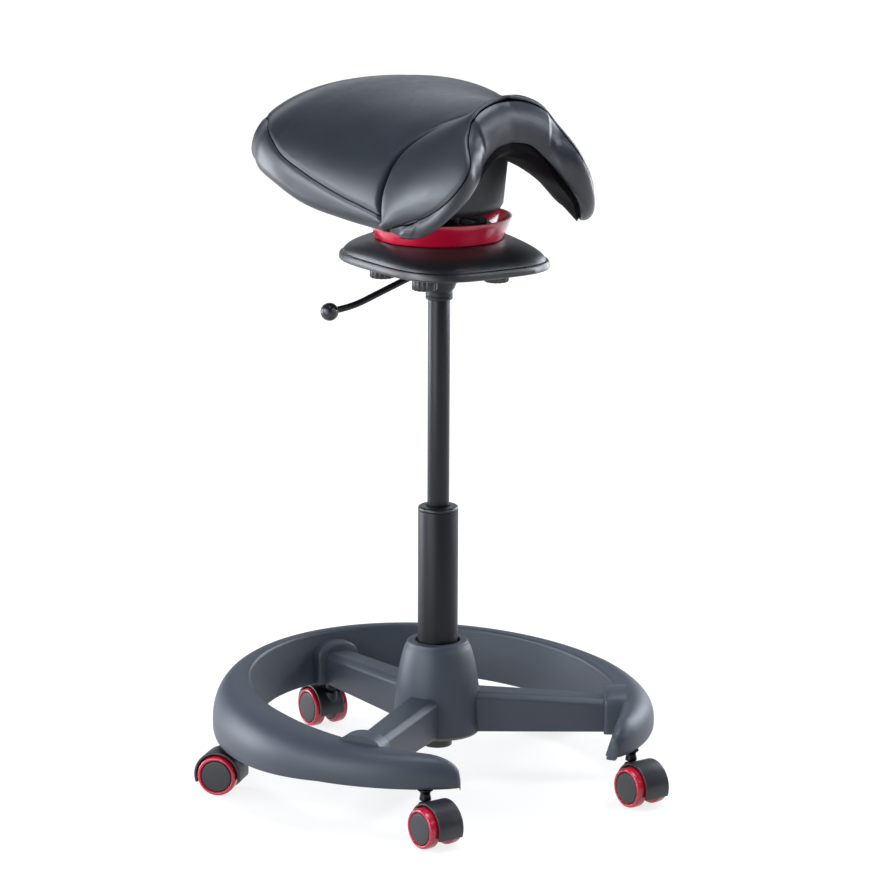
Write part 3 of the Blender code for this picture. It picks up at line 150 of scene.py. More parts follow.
def linear(hex_colour):
    """Linear colour from sRGB hex."""
    srgb = np.array([int(hex_colour[i : i + 2], 16) / 255 for i in (0, 2, 4)])
    made = np.where(srgb <= 0.04045, srgb / 12.92, ((srgb + 0.055) / 1.055) ** 2.4)
    return (*made.tolist(), 1.0)


def node(tree, kind, settings, numbered=None, **named):
    """Add a node, set its properties, and give each socket, by number or by name, a value or a link."""
    made = tree.nodes.new(kind)
    for name, value in settings.items():
        setattr(made, name, value)
    sockets = {name.replace("_", " "): value for name, value in named.items()}
    for key, value in {**(numbered or {}), **sockets}.items():
        socket = made.inputs[key]
        if isinstance(value, bpy.types.NodeSocket):
            tree.links.new(value, socket)
        else:
            socket.default_value = value
    return made


def new_finish(name, hex_colour, roughness, **sockets):
    """Principled material with constant values on its own sockets; gives its tree, shader and object coordinates."""
    made = bpy.data.materials.new(name)
    made.use_nodes = True
    tree = made.node_tree
    shader = tree.nodes["Principled BSDF"]
    shader.inputs["Base Color"].default_value = linear(hex_colour)
    shader.inputs["Roughness"].default_value = roughness
    for key, value in sockets.items():
        shader.inputs[key.replace("_", " ")].default_value = value
    where = node(tree, "ShaderNodeTexCoord", {}).outputs["Object"]
    return made, tree, shader, where


def vary_colour(tree, shader, fac, dark_hex, light_hex):
    """Let the base colour run between two colours."""
    mix = node(tree, "ShaderNodeMix", {"data_type": "RGBA"}, {0: fac, 6: linear(dark_hex), 7: linear(light_hex)})
    tree.links.new(mix.outputs[2], shader.inputs["Base Color"])
    return mix


def shade(hex_colour, factor):
    """Hex colour made lighter or darker by a factor."""
    return "".join(f"{min(255, round(int(hex_colour[i : i + 2], 16) * factor)):02x}" for i in (0, 2, 4))


def vary_roughness(tree, shader, fac, smooth, rough):
    """Let the roughness run between two values."""
    spread = node(tree, "ShaderNodeMapRange", {}, Value=fac, To_Min=smooth, To_Max=rough)
    tree.links.new(spread.outputs[0], shader.inputs["Roughness"])


def relief(tree, shader, height, strength, distance):
    """Raise the surface by a pattern."""
    bump = node(tree, "ShaderNodeBump", {}, Height=height, Strength=strength, Distance=distance)
    tree.links.new(bump.outputs[0], shader.inputs["Normal"])


def moulded_nylon(name, hex_colour, roughness, gloss=0.5):
    """Glass-filled nylon from a spark-eroded mould: an even matt grain with faint clouding of the colour.

    Real grain is about 0.3 mm across; it is drawn at 1.4 mm so that it shows.
    """
    made, tree, shader, where = new_finish(name, hex_colour, roughness, IOR=1.53, Specular_IOR_Level=gloss)
    grain = node(tree, "ShaderNodeTexNoise", {}, Vector=where, Scale=1 / 0.0014, Detail=2.0)
    cloud = node(tree, "ShaderNodeTexNoise", {}, Vector=where, Scale=1 / 0.09, Detail=3.0)
    vary_colour(tree, shader, cloud.outputs[0], shade(hex_colour, 0.90), shade(hex_colour, 1.10))
    vary_roughness(tree, shader, grain.outputs[0], roughness - 0.07, roughness + 0.07)
    relief(tree, shader, grain.outputs[0], 0.16, 0.0004)
    return made


def upholstery_leather(name, hex_colour, thread_hex):
    """Finished cowhide: pebbled grain with a satin dressing, darker in the seams, with a line of stitches.

    Grain cells are about 1 mm across; they are drawn at 1.7 mm so that they show. Two attributes carry the
    distance to the seam and the length along it, both in millimetres.
    """
    made, tree, shader, where = new_finish(name, hex_colour, 0.36, IOR=1.5)
    maths, ramp, noise = "ShaderNodeMath", "ShaderNodeMapRange", "ShaderNodeTexNoise"
    soft, colours = {"interpolation_type": "SMOOTHSTEP"}, {"data_type": "RGBA"}
    cells = node(tree, "ShaderNodeTexVoronoi", {"feature": "DISTANCE_TO_EDGE"}, Vector=where, Scale=1 / 0.0017)
    creases = node(tree, noise, {}, Vector=where, Scale=1 / 0.011, Detail=4.0, Distortion=0.6)
    cloud = node(tree, noise, {}, Vector=where, Scale=1 / 0.05, Detail=2.0)
    cell = node(tree, maths, {"operation": "MINIMUM"}, {0: cells.outputs[0], 1: 0.12})
    height = node(tree, maths, {"operation": "MULTIPLY_ADD"}, {0: creases.outputs[0], 1: 0.5, 2: cell.outputs[0]})
    across = node(tree, "ShaderNodeAttribute", {"attribute_name": "seam_mm"}).outputs["Fac"]
    along = node(tree, "ShaderNodeAttribute", {"attribute_name": "along_mm"}).outputs["Fac"]
    size = node(tree, maths, {"operation": "ABSOLUTE"}, {0: across})
    gap = node(tree, ramp, soft, Value=size.outputs[0], From_Min=0.35, From_Max=1.5)
    off = node(tree, maths, {"operation": "SUBTRACT"}, {0: across, 1: STITCH_OFF_MM})
    off_size = node(tree, maths, {"operation": "ABSOLUTE"}, {0: off.outputs[0]})
    line = node(tree, ramp, soft, Value=off_size.outputs[0], From_Min=0.45, From_Max=1.0)
    wave = node(tree, maths, {"operation": "PINGPONG"}, {0: along, 1: STITCH_PITCH_MM / 2})
    dash = node(tree, ramp, soft, Value=wave.outputs[0], From_Min=0.35, From_Max=0.8)
    stitch = node(tree, maths, {"operation": "SUBTRACT", "use_clamp": True}, {0: dash.outputs[0], 1: line.outputs[0]})
    base = vary_colour(tree, shader, cloud.outputs[0], shade(hex_colour, 0.86), shade(hex_colour, 1.14))
    sewn = node(tree, "ShaderNodeMix", colours, {0: stitch.outputs[0], 6: base.outputs[2], 7: linear(thread_hex)})
    closed = node(tree, "ShaderNodeMix", colours, {0: gap.outputs[0], 6: linear("050506"), 7: sewn.outputs[2]})
    tree.links.new(closed.outputs[2], shader.inputs["Base Color"])
    dull = node(tree, ramp, {}, Value=gap.outputs[0], To_Min=0.0, To_Max=0.55)
    tree.links.new(dull.outputs[0], shader.inputs["Specular IOR Level"])
    vary_roughness(tree, shader, creases.outputs[0], 0.29, 0.45)
    sunk = node(tree, maths, {"operation": "MULTIPLY_ADD"}, {0: stitch.outputs[0], 1: -0.5, 2: height.outputs[0]})
    relief(tree, shader, sunk.outputs[0], 0.22, 0.0012)
    return made


def coated_steel(name, hex_colour, roughness):
    """Powder-coated steel: a closed skin with a faint orange peel, about 1.5 mm from dip to dip."""
    made, tree, shader, where = new_finish(name, hex_colour, roughness, Specular_IOR_Level=0.28)
    peel = node(tree, "ShaderNodeTexNoise", {}, Vector=where, Scale=1 / 0.0015, Detail=1.0)
    cloud = node(tree, "ShaderNodeTexNoise", {}, Vector=where, Scale=1 / 0.06, Detail=3.0)
    vary_colour(tree, shader, cloud.outputs[0], shade(hex_colour, 0.92), shade(hex_colour, 1.08))
    vary_roughness(tree, shader, cloud.outputs[0], roughness - 0.05, roughness + 0.05)
    relief(tree, shader, peel.outputs[0], 0.10, 0.0003)
    return made


def plated_steel(name, hex_colour):
    """Zinc-plated steel: turned rings run round the piece, so the sheen is drawn out along them."""
    made, tree, shader, where = new_finish(name, hex_colour, 0.32, Metallic=1.0)
    stretch = node(tree, "ShaderNodeMapping", {}, Vector=where, Scale=(1.0, 1.0, 14.0))
    rings = node(tree, "ShaderNodeTexNoise", {}, Vector=stretch.outputs[0], Scale=1 / 0.008, Detail=3.0)
    vary_colour(tree, shader, rings.outputs[0], shade(hex_colour, 0.88), shade(hex_colour, 1.05))
    vary_roughness(tree, shader, rings.outputs[0], 0.25, 0.42)
    relief(tree, shader, rings.outputs[0], 0.08, 0.0002)
    return made


def cast_polyurethane(name, hex_colour):
    """Cast polyurethane tread: glossy, a little clear at the edge, with scuffs where it rolls."""
    made, tree, shader, where = new_finish(
        name, hex_colour, 0.24, IOR=1.5, Subsurface_Weight=0.10, Coat_Weight=0.35, Coat_Roughness=0.12
    )
    shader.inputs["Subsurface Scale"].default_value = 0.002
    scuff = node(tree, "ShaderNodeTexNoise", {}, Vector=where, Scale=1 / 0.004, Detail=4.0)
    cloud = node(tree, "ShaderNodeTexNoise", {}, Vector=where, Scale=1 / 0.02, Detail=2.0)
    vary_colour(tree, shader, cloud.outputs[0], shade(hex_colour, 0.90), shade(hex_colour, 1.06))
    vary_roughness(tree, shader, scuff.outputs[0], 0.16, 0.36)
    return made


def clear_acrylic(name, hex_colour):
    """Cast acrylic dyed through: polished, and light passes its edges."""
    made, tree, shader, where = new_finish(
        name, hex_colour, 0.10, IOR=1.49, Transmission_Weight=0.30, Coat_Weight=0.4, Coat_Roughness=0.05
    )
    cloud = node(tree, "ShaderNodeTexNoise", {}, Vector=where, Scale=1 / 0.03, Detail=2.0)
    vary_colour(tree, shader, cloud.outputs[0], shade(hex_colour, 0.94), shade(hex_colour, 1.05))
    vary_roughness(tree, shader, cloud.outputs[0], 0.07, 0.14)
    return made


def soft_rubber(name, hex_colour):
    """Moulded rubber: dull, with a fine bloom."""
    made, tree, shader, where = new_finish(name, hex_colour, 0.8, IOR=1.52)
    bloom = node(tree, "ShaderNodeTexNoise", {}, Vector=where, Scale=1 / 0.006, Detail=4.0)
    vary_colour(tree, shader, bloom.outputs[0], shade(hex_colour, 0.85), shade(hex_colour, 1.25))
    vary_roughness(tree, shader, bloom.outputs[0], 0.70, 0.90)
    return made


def studio_paper(name, hex_colour):
    """Background paper, lit from behind so that it stays pale, a little less under the stool than far off."""
    made, tree, shader, where = new_finish(name, hex_colour, 0.9)
    shader.inputs["Emission Color"].default_value = (1.0, 1.0, 1.0, 1.0)
    off = node(tree, "ShaderNodeVectorMath", {"operation": "LENGTH"}, {0: where}).outputs["Value"]
    glow = node(tree, "ShaderNodeMapRange", {}, Value=off, From_Min=0.4, From_Max=3.0, To_Min=0.80, To_Max=1.02)
    tree.links.new(glow.outputs[0], shader.inputs["Emission Strength"])
    return made


def finishes():
    """Every material of the stool, made once and kept by name."""
    if FINISHES:
        return FINISHES
    scene = bpy.context.scene
    seat, base, lift = scene.stool_seat, scene.stool_base, scene.stool_lift
    FINISHES.update(
        moulding=moulded_nylon("moulded nylon charcoal", base.moulding, 0.48),
        wheel=moulded_nylon("moulded nylon wheel black", base.wheel, 0.42),
        plate=moulded_nylon("moulded nylon plate black", lift.plate, 0.40),
        knob=moulded_nylon("moulded nylon knob black", shade(lift.plate, 0.7), 0.33),
        # The shell's darkened maroon colour is partly its own dark plastic and partly painted shade and a painted red
        # reflection under the arch
        shell=moulded_nylon("moulded polypropylene shell", seat.shell, 0.75, 0.06),
        neck=moulded_nylon("moulded polypropylene neck", seat.neck, 0.50),
        leather=upholstery_leather("upholstery leather black", seat.leather, seat.thread),
        tube=coated_steel("powder coated steel", lift.tube, 0.40),
        cylinder=coated_steel("painted steel cylinder", lift.cylinder, 0.34),
        casting=coated_steel("painted casting", "222327", 0.45),
        steel=plated_steel("zinc plated steel", "b4b7bb"),
        dark_steel=plated_steel("blackened steel", "2c2c30"),
        tread=cast_polyurethane("cast polyurethane red", base.tread),
        collar=clear_acrylic("dyed acrylic red", lift.collar),
        rubber=soft_rubber("moulded rubber black", "191919"),
    )
    return FINISHES


FINISHES = {}

# Surfaces


def quads(rows, cols):
    """Faces of a grid whose columns close on themselves."""
    i, j = np.meshgrid(np.arange(rows - 1), np.arange(cols), indexing="ij")
    k = (j + 1) % cols
    made = np.stack((i * cols + j, i * cols + k, (i + 1) * cols + k, (i + 1) * cols + j), -1)
    return made.reshape(-1, 4).tolist()


def skin(rows, caps=True):
    """Skin over rows of points, each row a closed loop, with a flat cap at each end."""
    rows = np.asarray(rows, float)
    count, around = rows.shape[:2]
    faces = quads(count, around)
    if caps:
        faces += [list(range(around)), list(range((count - 1) * around, count * around))]
    return rows.reshape(-1, 3), faces


def revolve(profile, steps=96, closed=False):
    """Turn (radius, height) points about Z: point = (r cos t, r sin t, z) for t round the circle."""
    profile = np.asarray(profile, float)
    if closed:
        profile = np.vstack((profile, profile[:1]))
    t = np.arange(steps) * 2 * pi / steps
    r, z = profile[:, 0, None], profile[:, 1, None]
    rows = np.stack((r * np.cos(t), r * np.sin(t), z + 0 * t), -1)
    return skin(rows, caps=False)


def rounded(points, radius, count=5):
    """Polyline with each inner corner replaced by a quadratic arc that starts a radius away from it."""
    points = np.asarray(points, float)
    made = [points[:1]]
    s = np.linspace(0, 1, count)[:, None]
    for before, corner, after in zip(points, points[1:], points[2:]):
        back, on = before - corner, after - corner
        reach = min(radius, 0.48 * np.linalg.norm(back), 0.48 * np.linalg.norm(on))
        start = corner + back / np.linalg.norm(back) * reach
        end = corner + on / np.linalg.norm(on) * reach
        made.append((1 - s) ** 2 * start + 2 * s * (1 - s) * corner + s * s * end)
    made.append(points[-1:])
    return np.vstack(made)


def rounded_loop(points, radius, count=5):
    """Closed polygon with rounded corners."""
    points = np.asarray(points, float)
    return rounded(np.vstack((points[-1:], points, points[:1])), radius, count)[1:-1]


def sweep(path, radius, around=24):
    """Round bar along a path in a plane across Y: each ring is the circle square to the path."""
    path = np.asarray(path, float)
    ahead = np.gradient(path, axis=0)
    ahead /= np.linalg.norm(ahead, axis=1)[:, None]
    side = np.array((0.0, 1.0, 0.0))
    up = np.cross(ahead, side)
    t = np.arange(around) * 2 * pi / around
    rings = path[:, None] + radius * (np.cos(t)[:, None] * side + np.sin(t)[:, None] * up[:, None])
    return skin(rings)


def oval(half_x, half_y, power, z, forward=0.0, count=160):
    """Superellipse loop at one height, its middle a little forward."""
    t = np.arange(count) * 2 * pi / count
    x = half_x * np.sign(np.cos(t)) * np.abs(np.cos(t)) ** (2 / power)
    y = half_y * np.sign(np.sin(t)) * np.abs(np.sin(t)) ** (2 / power)
    return np.column_stack((x, y - forward, np.full(count, z)))


def moved(part, offset, turn=None):
    """Part turned by a matrix and then moved."""
    verts, faces = part
    if turn is not None:
        verts = verts @ np.asarray(turn).T
    return verts + np.asarray(offset), faces


def stacked(parts):
    """Several parts as one list of points and faces."""
    verts, faces, start = [], [], 0
    for points, polygons in parts:
        verts.append(points)
        faces += [[index + start for index in face] for face in polygons]
        start += len(points)
    return np.vstack(verts), faces


def piece(name, parts, finish, body, nodes, sharp=radians(38), bevel=0.0):
    """Put closed parts into one mesh, ride it on a body and let it stand for its solids."""
    verts, faces = stacked(parts)
    mesh = bpy.data.meshes.new(name)
    mesh.from_pydata(verts.tolist(), [], faces)
    work = bmesh.new()
    work.from_mesh(mesh)
    bmesh.ops.remove_doubles(work, verts=work.verts, dist=2e-6)
    bmesh.ops.recalc_face_normals(work, faces=work.faces)
    work.to_mesh(mesh)
    work.free()
    mesh.shade_smooth()
    mesh.set_sharp_from_angle(angle=sharp)
    mesh.materials.append(finishes()[finish])
    made = bpy.data.objects.new(name, mesh)
    bpy.context.scene.collection.objects.link(made)
    if bevel:
        edge = made.modifiers.new("edges", "BEVEL")
        edge.width = bevel
        edge.segments = 3
        edge.limit_method = "ANGLE"
        edge.angle_limit = sharp
    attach(made, body)
    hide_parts(*nodes)
    return made


def smooth_through(keys, values, at):
    """Cubic curve through values at rising keys, with slopes taken from their neighbours."""
    keys, values, at = np.asarray(keys, float), np.asarray(values, float), np.asarray(at, float)
    slopes = np.gradient(values, keys, axis=0)
    i = np.clip(np.searchsorted(keys, at, side="right") - 1, 0, len(keys) - 2)
    span = keys[i + 1] - keys[i]
    s = (at - keys[i]) / span
    if values.ndim > 1:
        span, s = span[..., None], s[..., None]
    start = (1 + 2 * s) * (1 - s) ** 2 * values[i] + s * (1 - s) ** 2 * span * slopes[i]
    return start + s * s * (3 - 2 * s) * values[i + 1] + s * s * (s - 1) * span * slopes[i + 1]


# Foot ring, hub and arms

RING_HALF_WIDTH, RING_BACK, RING_FRONT = 0.277, 0.292, 0.259
RIDGE_HALF_WIDTH, RIDGE_BACK, RIDGE_FRONT, RIDGE_CENTRE_Y = 0.225, 0.248, 0.265, 0.010
RIDGE_HEIGHT, RIDGE_RISE, RIDGE_DROOP = 0.054, 0.045, 0.028
RING_LEAN, RING_SAG, RING_SAG_Y, RING_SAG_SPAN = 0.013, 0.007, 0.050, 0.150
RING_SKIRT, RING_TUCK = 0.22, 0.002
RING_END, RING_NOSE = radians(150.5), radians(10)
RING_BOTTOM = 0.066
ARM_BEARINGS = (radians(180), radians(56.5), radians(-56.5))
ARM_WIDTH, ARM_HEIGHT, ARM_TAPER, ARM_CHAMFER = 0.044, 0.051, 0.010, 0.007
COLLAR_WALL, COLLAR_STAND = 0.008, 0.010
HUB_TOP_RADIUS, HUB_BOTTOM_RADIUS, HUB_EDGE = 0.0385, 0.055, 0.004
TUBE_RADIUS, CYLINDER_RADIUS = 0.025, 0.0137


def ridge(angle):
    """Plan point and outward direction on the ring's ridge: two half ellipses joined at the sides."""
    depth = np.where(np.cos(angle) > 0, RIDGE_BACK, RIDGE_FRONT)
    point = np.stack((RIDGE_HALF_WIDTH * np.sin(angle), RIDGE_CENTRE_Y + depth * np.cos(angle)), -1)
    out = np.stack((depth * np.sin(angle), RIDGE_HALF_WIDTH * np.cos(angle)), -1)
    return point, out / np.linalg.norm(out, axis=-1)[..., None]


def nose_cap(row, step):
    """Rounded end of the ring: the last section drawn in along a quarter ellipse."""
    middle = row.mean(0)
    ahead = step.mean(0) / np.linalg.norm(step.mean(0))
    turn = np.radians((20, 40, 58, 74, 86))[:, None, None]
    return middle + (row - middle) * (1 - 0.45 * (1 - np.cos(turn))) + ahead * 0.007 * np.sin(turn)


def ring_part(stations, ridge_round):
    """Section carried round the ridge: wall leaning inwards, rounded ridge, outer slope
    (reach sin(a)^0.8, lower + (h - lower) cos(a)^0.9), short skirt; the noses shrink along a quarter ellipse."""
    nose = RING_END - RING_NOSE
    tips = nose + RING_NOSE * np.sin(np.linspace(0, radians(88.5), 22)[1:])
    angle = np.concatenate((-tips[::-1], np.linspace(-nose, nose, stations), tips))
    point, out = ridge(angle)
    y = point[:, 1]
    bottom = RING_BOTTOM - RING_SAG * np.maximum(0, 1 - ((y - RING_SAG_Y) / RING_SAG_SPAN) ** 2)
    h = (RING_BOTTOM + RIDGE_HEIGHT + RIDGE_RISE * y + RIDGE_DROOP * np.minimum(0, y) - bottom)[:, None]
    scale = np.stack((np.full_like(y, RING_HALF_WIDTH), np.where(y > 0, RING_BACK, RING_FRONT)), -1)
    place, way = point / scale, out / scale
    along, square = (place * way).sum(1), (way * way).sum(1)
    reach = ((np.sqrt(along**2 + square * (1 - (place**2).sum(1))) - along) / square)[:, None]
    lower = RING_SKIRT * h
    rise = np.linspace(0.02, 1, 10)
    wall_top = h - 2 * ridge_round
    wall_out = -RING_LEAN + (RING_LEAN - 0.0015) * rise * wall_top / h
    turn = np.linspace(0, pi / 2, 6)[1:]
    crest_out = wall_out[:, -1:] + 2 * ridge_round * (1 - np.cos(turn)) * 0.75
    crest_up = wall_top + 2 * ridge_round * np.sin(turn) * (1 - 0.03 * turn)
    a = np.radians(np.linspace(14, 88, 26))
    slope_out = reach * np.sin(a) ** 0.8
    slope_up = lower + (h - lower) * np.cos(a) ** 0.9
    skirt = np.linspace(0.85, 0.12, 6)
    skirt_out = reach - RING_TUCK * (1 - skirt) ** 2
    skirt_up = lower * skirt * 0.6
    under = np.linspace(0, 1, 8)
    under_out = (reach - RING_TUCK - 0.002) * (1 - under) + (-RING_LEAN + 0.002) * under
    outward = np.hstack((wall_out, crest_out, slope_out, skirt_out, under_out))
    up = np.hstack((wall_top * rise, crest_up, slope_up, skirt_up, 0 * under_out))
    k = np.clip((np.abs(angle) - nose) / RING_NOSE, 0, 1)[:, None]
    shrink = np.sqrt(1 - k * k)
    middle = (reach - RING_LEAN) / 2
    outward = middle + (outward - middle) * (0.5 + 0.5 * shrink)
    up = up * (0.4 + 0.6 * shrink)
    plan = point[:, None] + outward[..., None] * out[:, None]
    rows = np.concatenate((plan, (bottom[:, None] + up)[..., None]), -1)
    ends = [nose_cap(rows[0], rows[0] - rows[1])[::-1], rows, nose_cap(rows[-1], rows[-1] - rows[-2])]
    return moved(skin(np.concatenate(ends)), COLUMN)


def wall_distance(bearing):
    """Distance from the column to the foot of the ring's inner wall along a bearing off the front."""
    toward = np.array((sin(bearing), -cos(bearing)))
    point, out = ridge(np.linspace(0, RING_END, 800))
    feet = (point - RING_LEAN * out) * (1 if toward[0] >= 0 else -1, 1)
    miss = np.abs(feet[:, 0] * toward[1] - feet[:, 1] * toward[0]) + 10 * (feet @ toward < 0)
    return float(feet[miss.argmin()] @ toward)


def on_bearing(bearing, distance, shape):
    """Points of an (across, up) shape stood square to a bearing, at a distance from the column."""
    toward = np.array((sin(bearing), -cos(bearing), 0.0))
    across = np.array((-toward[1], toward[0], 0.0))
    return toward * distance + shape[:, :1] * across + shape[:, 1:] * (0, 0, 1) + (0, 0, RING_BOTTOM)


def along_bearing(bearing, outline, distances, scales):
    """Loft of an (across, up) outline along a bearing, scaled at each distance about its foot."""
    rows = [on_bearing(bearing, distance, np.asarray(outline) * scale) for distance, scale in zip(distances, scales)]
    return moved(skin(rows), COLUMN)


def collar_part(bearing):
    """Arch-shaped collar on the ring's inner wall: an elliptic arch on straight legs, its lip rounded off."""
    half = ARM_WIDTH / 2 + COLLAR_WALL
    crown = ARM_HEIGHT - ARM_TAPER / 2 + COLLAR_WALL
    spring = crown - 0.6 * half
    t = np.linspace(0, pi, 41)
    arch = np.column_stack((half * np.cos(t), spring + (crown - spring) * np.sin(t)))
    outline = np.vstack(((half, 0.0), arch, (-half, 0.0)))
    foot = wall_distance(bearing) - COLLAR_STAND
    distances = foot + np.array((0.0, 0.0008, 0.0022, 0.0045, COLLAR_STAND + 0.018))
    return along_bearing(bearing, outline, distances, (0.90, 0.955, 0.988, 1.0, 1.0))


def arm_part(bearing):
    """Tapered arm with chamfered upper edges, each edge eased."""
    start, end = HUB_TOP_RADIUS, wall_distance(bearing) + 0.006
    rows = []
    for distance, taper in ((start, 0.0), (end, ARM_TAPER)):
        half, top, cut = (ARM_WIDTH - taper / 2) / 2, ARM_HEIGHT - taper, ARM_CHAMFER
        corners = [(half, 0), (half, top - cut), (half - cut, top), (cut - half, top), (-half, top - cut), (-half, 0)]
        rows.append(on_bearing(bearing, distance, rounded_loop(corners, 0.0022, 4)))
    rows = np.array(rows)
    t = np.linspace(0, 1, 24)[:, None, None]
    return moved(skin(rows[0] * (1 - t) + rows[1] * t), COLUMN)


def hub_part():
    """Turned hub: flank radius R + s sin(a) at height top - d (1 - cos(a))^0.75, with a recess round the tube."""
    top, bottom = high("base_spider"), low("base_spider")
    swell, drop = HUB_BOTTOM_RADIUS - HUB_TOP_RADIUS, top - bottom - 2 * HUB_EDGE
    a = np.radians(np.linspace(0, 90, 28))
    flank = np.column_stack((HUB_TOP_RADIUS + swell * np.sin(a), top - HUB_EDGE - drop * (1 - np.cos(a)) ** 0.75))
    bore = TUBE_RADIUS + GAP
    lip = bore + 0.003
    inner = [(bore, bottom), (bore, top - 0.006), (lip, top - 0.006), (lip, top)]
    rim = rounded(((lip, top), (HUB_TOP_RADIUS - HUB_EDGE / 4, top), flank[0], flank[3]), 0.003)[1:-1]
    profile = np.vstack((rim, flank[3:], ((HUB_BOTTOM_RADIUS - HUB_EDGE, bottom),), inner))
    return moved(revolve(profile, 128, closed=True), COLUMN)


# Castors

WHEEL_RADIUS, WHEEL_WIDTH, WHEEL_SPACING, TREAD_DEPTH = 0.025, 0.0175, 0.014, 0.005
CASTOR_TRAIL, HOOD_RADIUS, HOOD_INSIDE = 0.020, 0.030, 0.0265
HOOD_NEAR, HOOD_FAR = 0.015, 0.0205
HOOD_START, HOOD_END = radians(-20.5), radians(190)
SWIVEL_TOP = 0.048


def castor_frame(side):
    """Turn and place of a castor at rest, from its swivel and its wheels' axis in the record."""
    stem = np.array(JOINTS[f"castor_{side}_swivel"]["pos_m"])
    axis = np.array(JOINTS[f"castor_{side}_left_roll"]["axis"])
    trail = np.array((axis[1], -axis[0], 0.0))
    return np.column_stack((trail, axis, (0.0, 0.0, 1.0))), np.array((stem[0], stem[1], 0.0))


def on_axle(part, sign=1):
    """Part turned about Z laid along the axle, outwards on one side."""
    verts, faces = part
    laid = np.column_stack((verts[:, 0], sign * verts[:, 2], verts[:, 1]))
    return laid + (CASTOR_TRAIL, 0.0, WHEEL_RADIUS), faces


def wheel_parts():
    """Disc and tread profiles as (radius, along the axle outwards), with eased corners."""
    inner = WHEEL_SPACING / 2
    outer = inner + WHEEL_WIDTH
    seat = WHEEL_RADIUS - TREAD_DEPTH
    disc = [
        (0.0, outer + 0.0002),
        (0.55 * seat, outer),
        (0.92 * seat, outer - 0.0005),
        (seat - GAP, outer - 0.0016),
        (seat - GAP, inner + 0.001),
        (0.004, inner),
        (0.0, inner),
    ]
    tread = [
        (seat, outer - 0.0012),
        (seat + 0.0016, outer),
        (WHEEL_RADIUS - 0.0008, outer - 0.0012),
        (WHEEL_RADIUS, outer - 0.005),
        (WHEEL_RADIUS, inner + 0.004),
        (seat, inner + 0.001),
    ]
    return revolve(rounded(disc, 0.0016), 72), revolve(rounded_loop(tread, 0.0022), 72, closed=True)


def hood_parts():
    """Hood: a rounded strip carried round the axle, a web between the wheels and a boss for the stem."""
    near, far = -HOOD_NEAR, HOOD_FAR
    corners = ((near, HOOD_INSIDE), (far, HOOD_INSIDE), (far, HOOD_RADIUS), (near, HOOD_RADIUS))
    strip = rounded_loop(corners, 0.0016, 4)
    t = np.linspace(HOOD_START, HOOD_END, 64)[:, None]
    rows = np.stack((strip[:, 1] * np.cos(t), strip[:, 0] + 0 * t, strip[:, 1] * np.sin(t)), -1)
    shell = skin(rows)
    a = np.linspace(HOOD_START, HOOD_END, 49)
    outline = 0.0285 * np.column_stack((np.cos(a), np.sin(a)))
    half = WHEEL_SPACING / 2 - 0.0004
    web = skin([np.column_stack((outline[:, 0], np.full(len(a), s), outline[:, 1])) for s in (-half, half)])
    top, low_end, radius = SWIVEL_TOP, WHEEL_RADIUS, 0.0085
    boss = ((0.0, top), (0.0078, top), (radius, top - 0.001), (radius, low_end), (0.0, low_end))
    axle = (CASTOR_TRAIL, 0.0, WHEEL_RADIUS)
    return [moved(shell, axle), moved(web, axle), revolve(boss, 40)]


def stem_part():
    """Turned stem: shank in the ring, washer, waisted neck and pin."""
    top, rest = RING_BOTTOM + 0.020, SWIVEL_TOP + 0.004
    profile = [
        (0.0, top),
        (0.0055, top),
        (0.0055, RING_BOTTOM - GAP),
        (0.0095, RING_BOTTOM - GAP),
        (0.0095, RING_BOTTOM - 0.0019),
        (0.0074, RING_BOTTOM - 0.0024),
        (0.0060, RING_BOTTOM - 0.0060),
        (0.0072, rest + 0.002),
        (0.0072, rest),
        (0.004, rest),
        (0.004, SWIVEL_TOP - 0.012),
        (0.0, SWIVEL_TOP - 0.012),
    ]
    return revolve(rounded(profile, 0.0006, 3), 48)


# Saddle

SEAT_Z = 0.8609
CREASE_AT = (0.0, 0.24, 0.36, 0.5, 0.75, 1.0)
CREASE_Y = (-0.141, -0.134, -0.102, -0.082, -0.084, -0.101)
CUSHION_DEPTH, RIM_TUCK, RIM_DROP = 0.038, 0.014, 0.013
REAR_Y = (-0.146, -0.088, -0.030, 0.028, 0.080, 0.110, 0.140)
REAR_HALF_WIDTH = (0.139, 0.1485, 0.167, 0.184, 0.194, 0.193, 0.180)
REAR_CROWN = (0.013, 0.009, 0.004, 0.004, 0.009, 0.011, 0.007)
REAR_RIM = (-0.129, -0.126, -0.119, -0.108, -0.088, -0.079, -0.073)
REAR_POWER = (1.50, 1.55, 1.75, 2.0, 2.1, 2.15, 2.15)
REAR_END_Y, REAR_END_RIM, REAR_END_POWER = 0.186, -0.067, 2.2
SEAM_Y = (-0.108, -0.082, -0.036, 0.023, 0.067, 0.093, 0.116, 0.140, 0.186)
SEAM_Z = (-0.124, -0.1165, -0.1036, -0.083, -0.064, -0.049, -0.038, -0.033, -0.030)
FRONT_SEAM = (
    (0.000, -0.146, 0.013),
    (0.020, -0.147, 0.011),
    (0.050, -0.152, -0.002),
    (0.064, -0.161, -0.021),
    (0.083, -0.190, -0.060),
    (0.103, -0.180, -0.092),
    (0.117, -0.158, -0.113),
    (0.128, -0.132, -0.126),
    (0.138, -0.1115, -0.134),
)
FRONT_INNER = (
    (0.000, -0.158, -0.036),
    (0.022, -0.161, -0.040),
    (0.044, -0.164, -0.058),
    (0.064, -0.174, -0.084),
    (0.092, -0.164, -0.114),
    (0.114, -0.138, -0.142),
    (0.128, -0.113, -0.143),
    (0.139, -0.100, -0.135),
)
FRONT_CROWN, FACE_CROWN = 0.008, 0.006
SHELL_GAP, SHELL_WALL = 0.001, 0.028


def crease_line(across):
    """Where the crease lies along the saddle: well forward in the middle, bowed back on the flanks."""
    return smooth_through(CREASE_AT, CREASE_Y, np.abs(across))


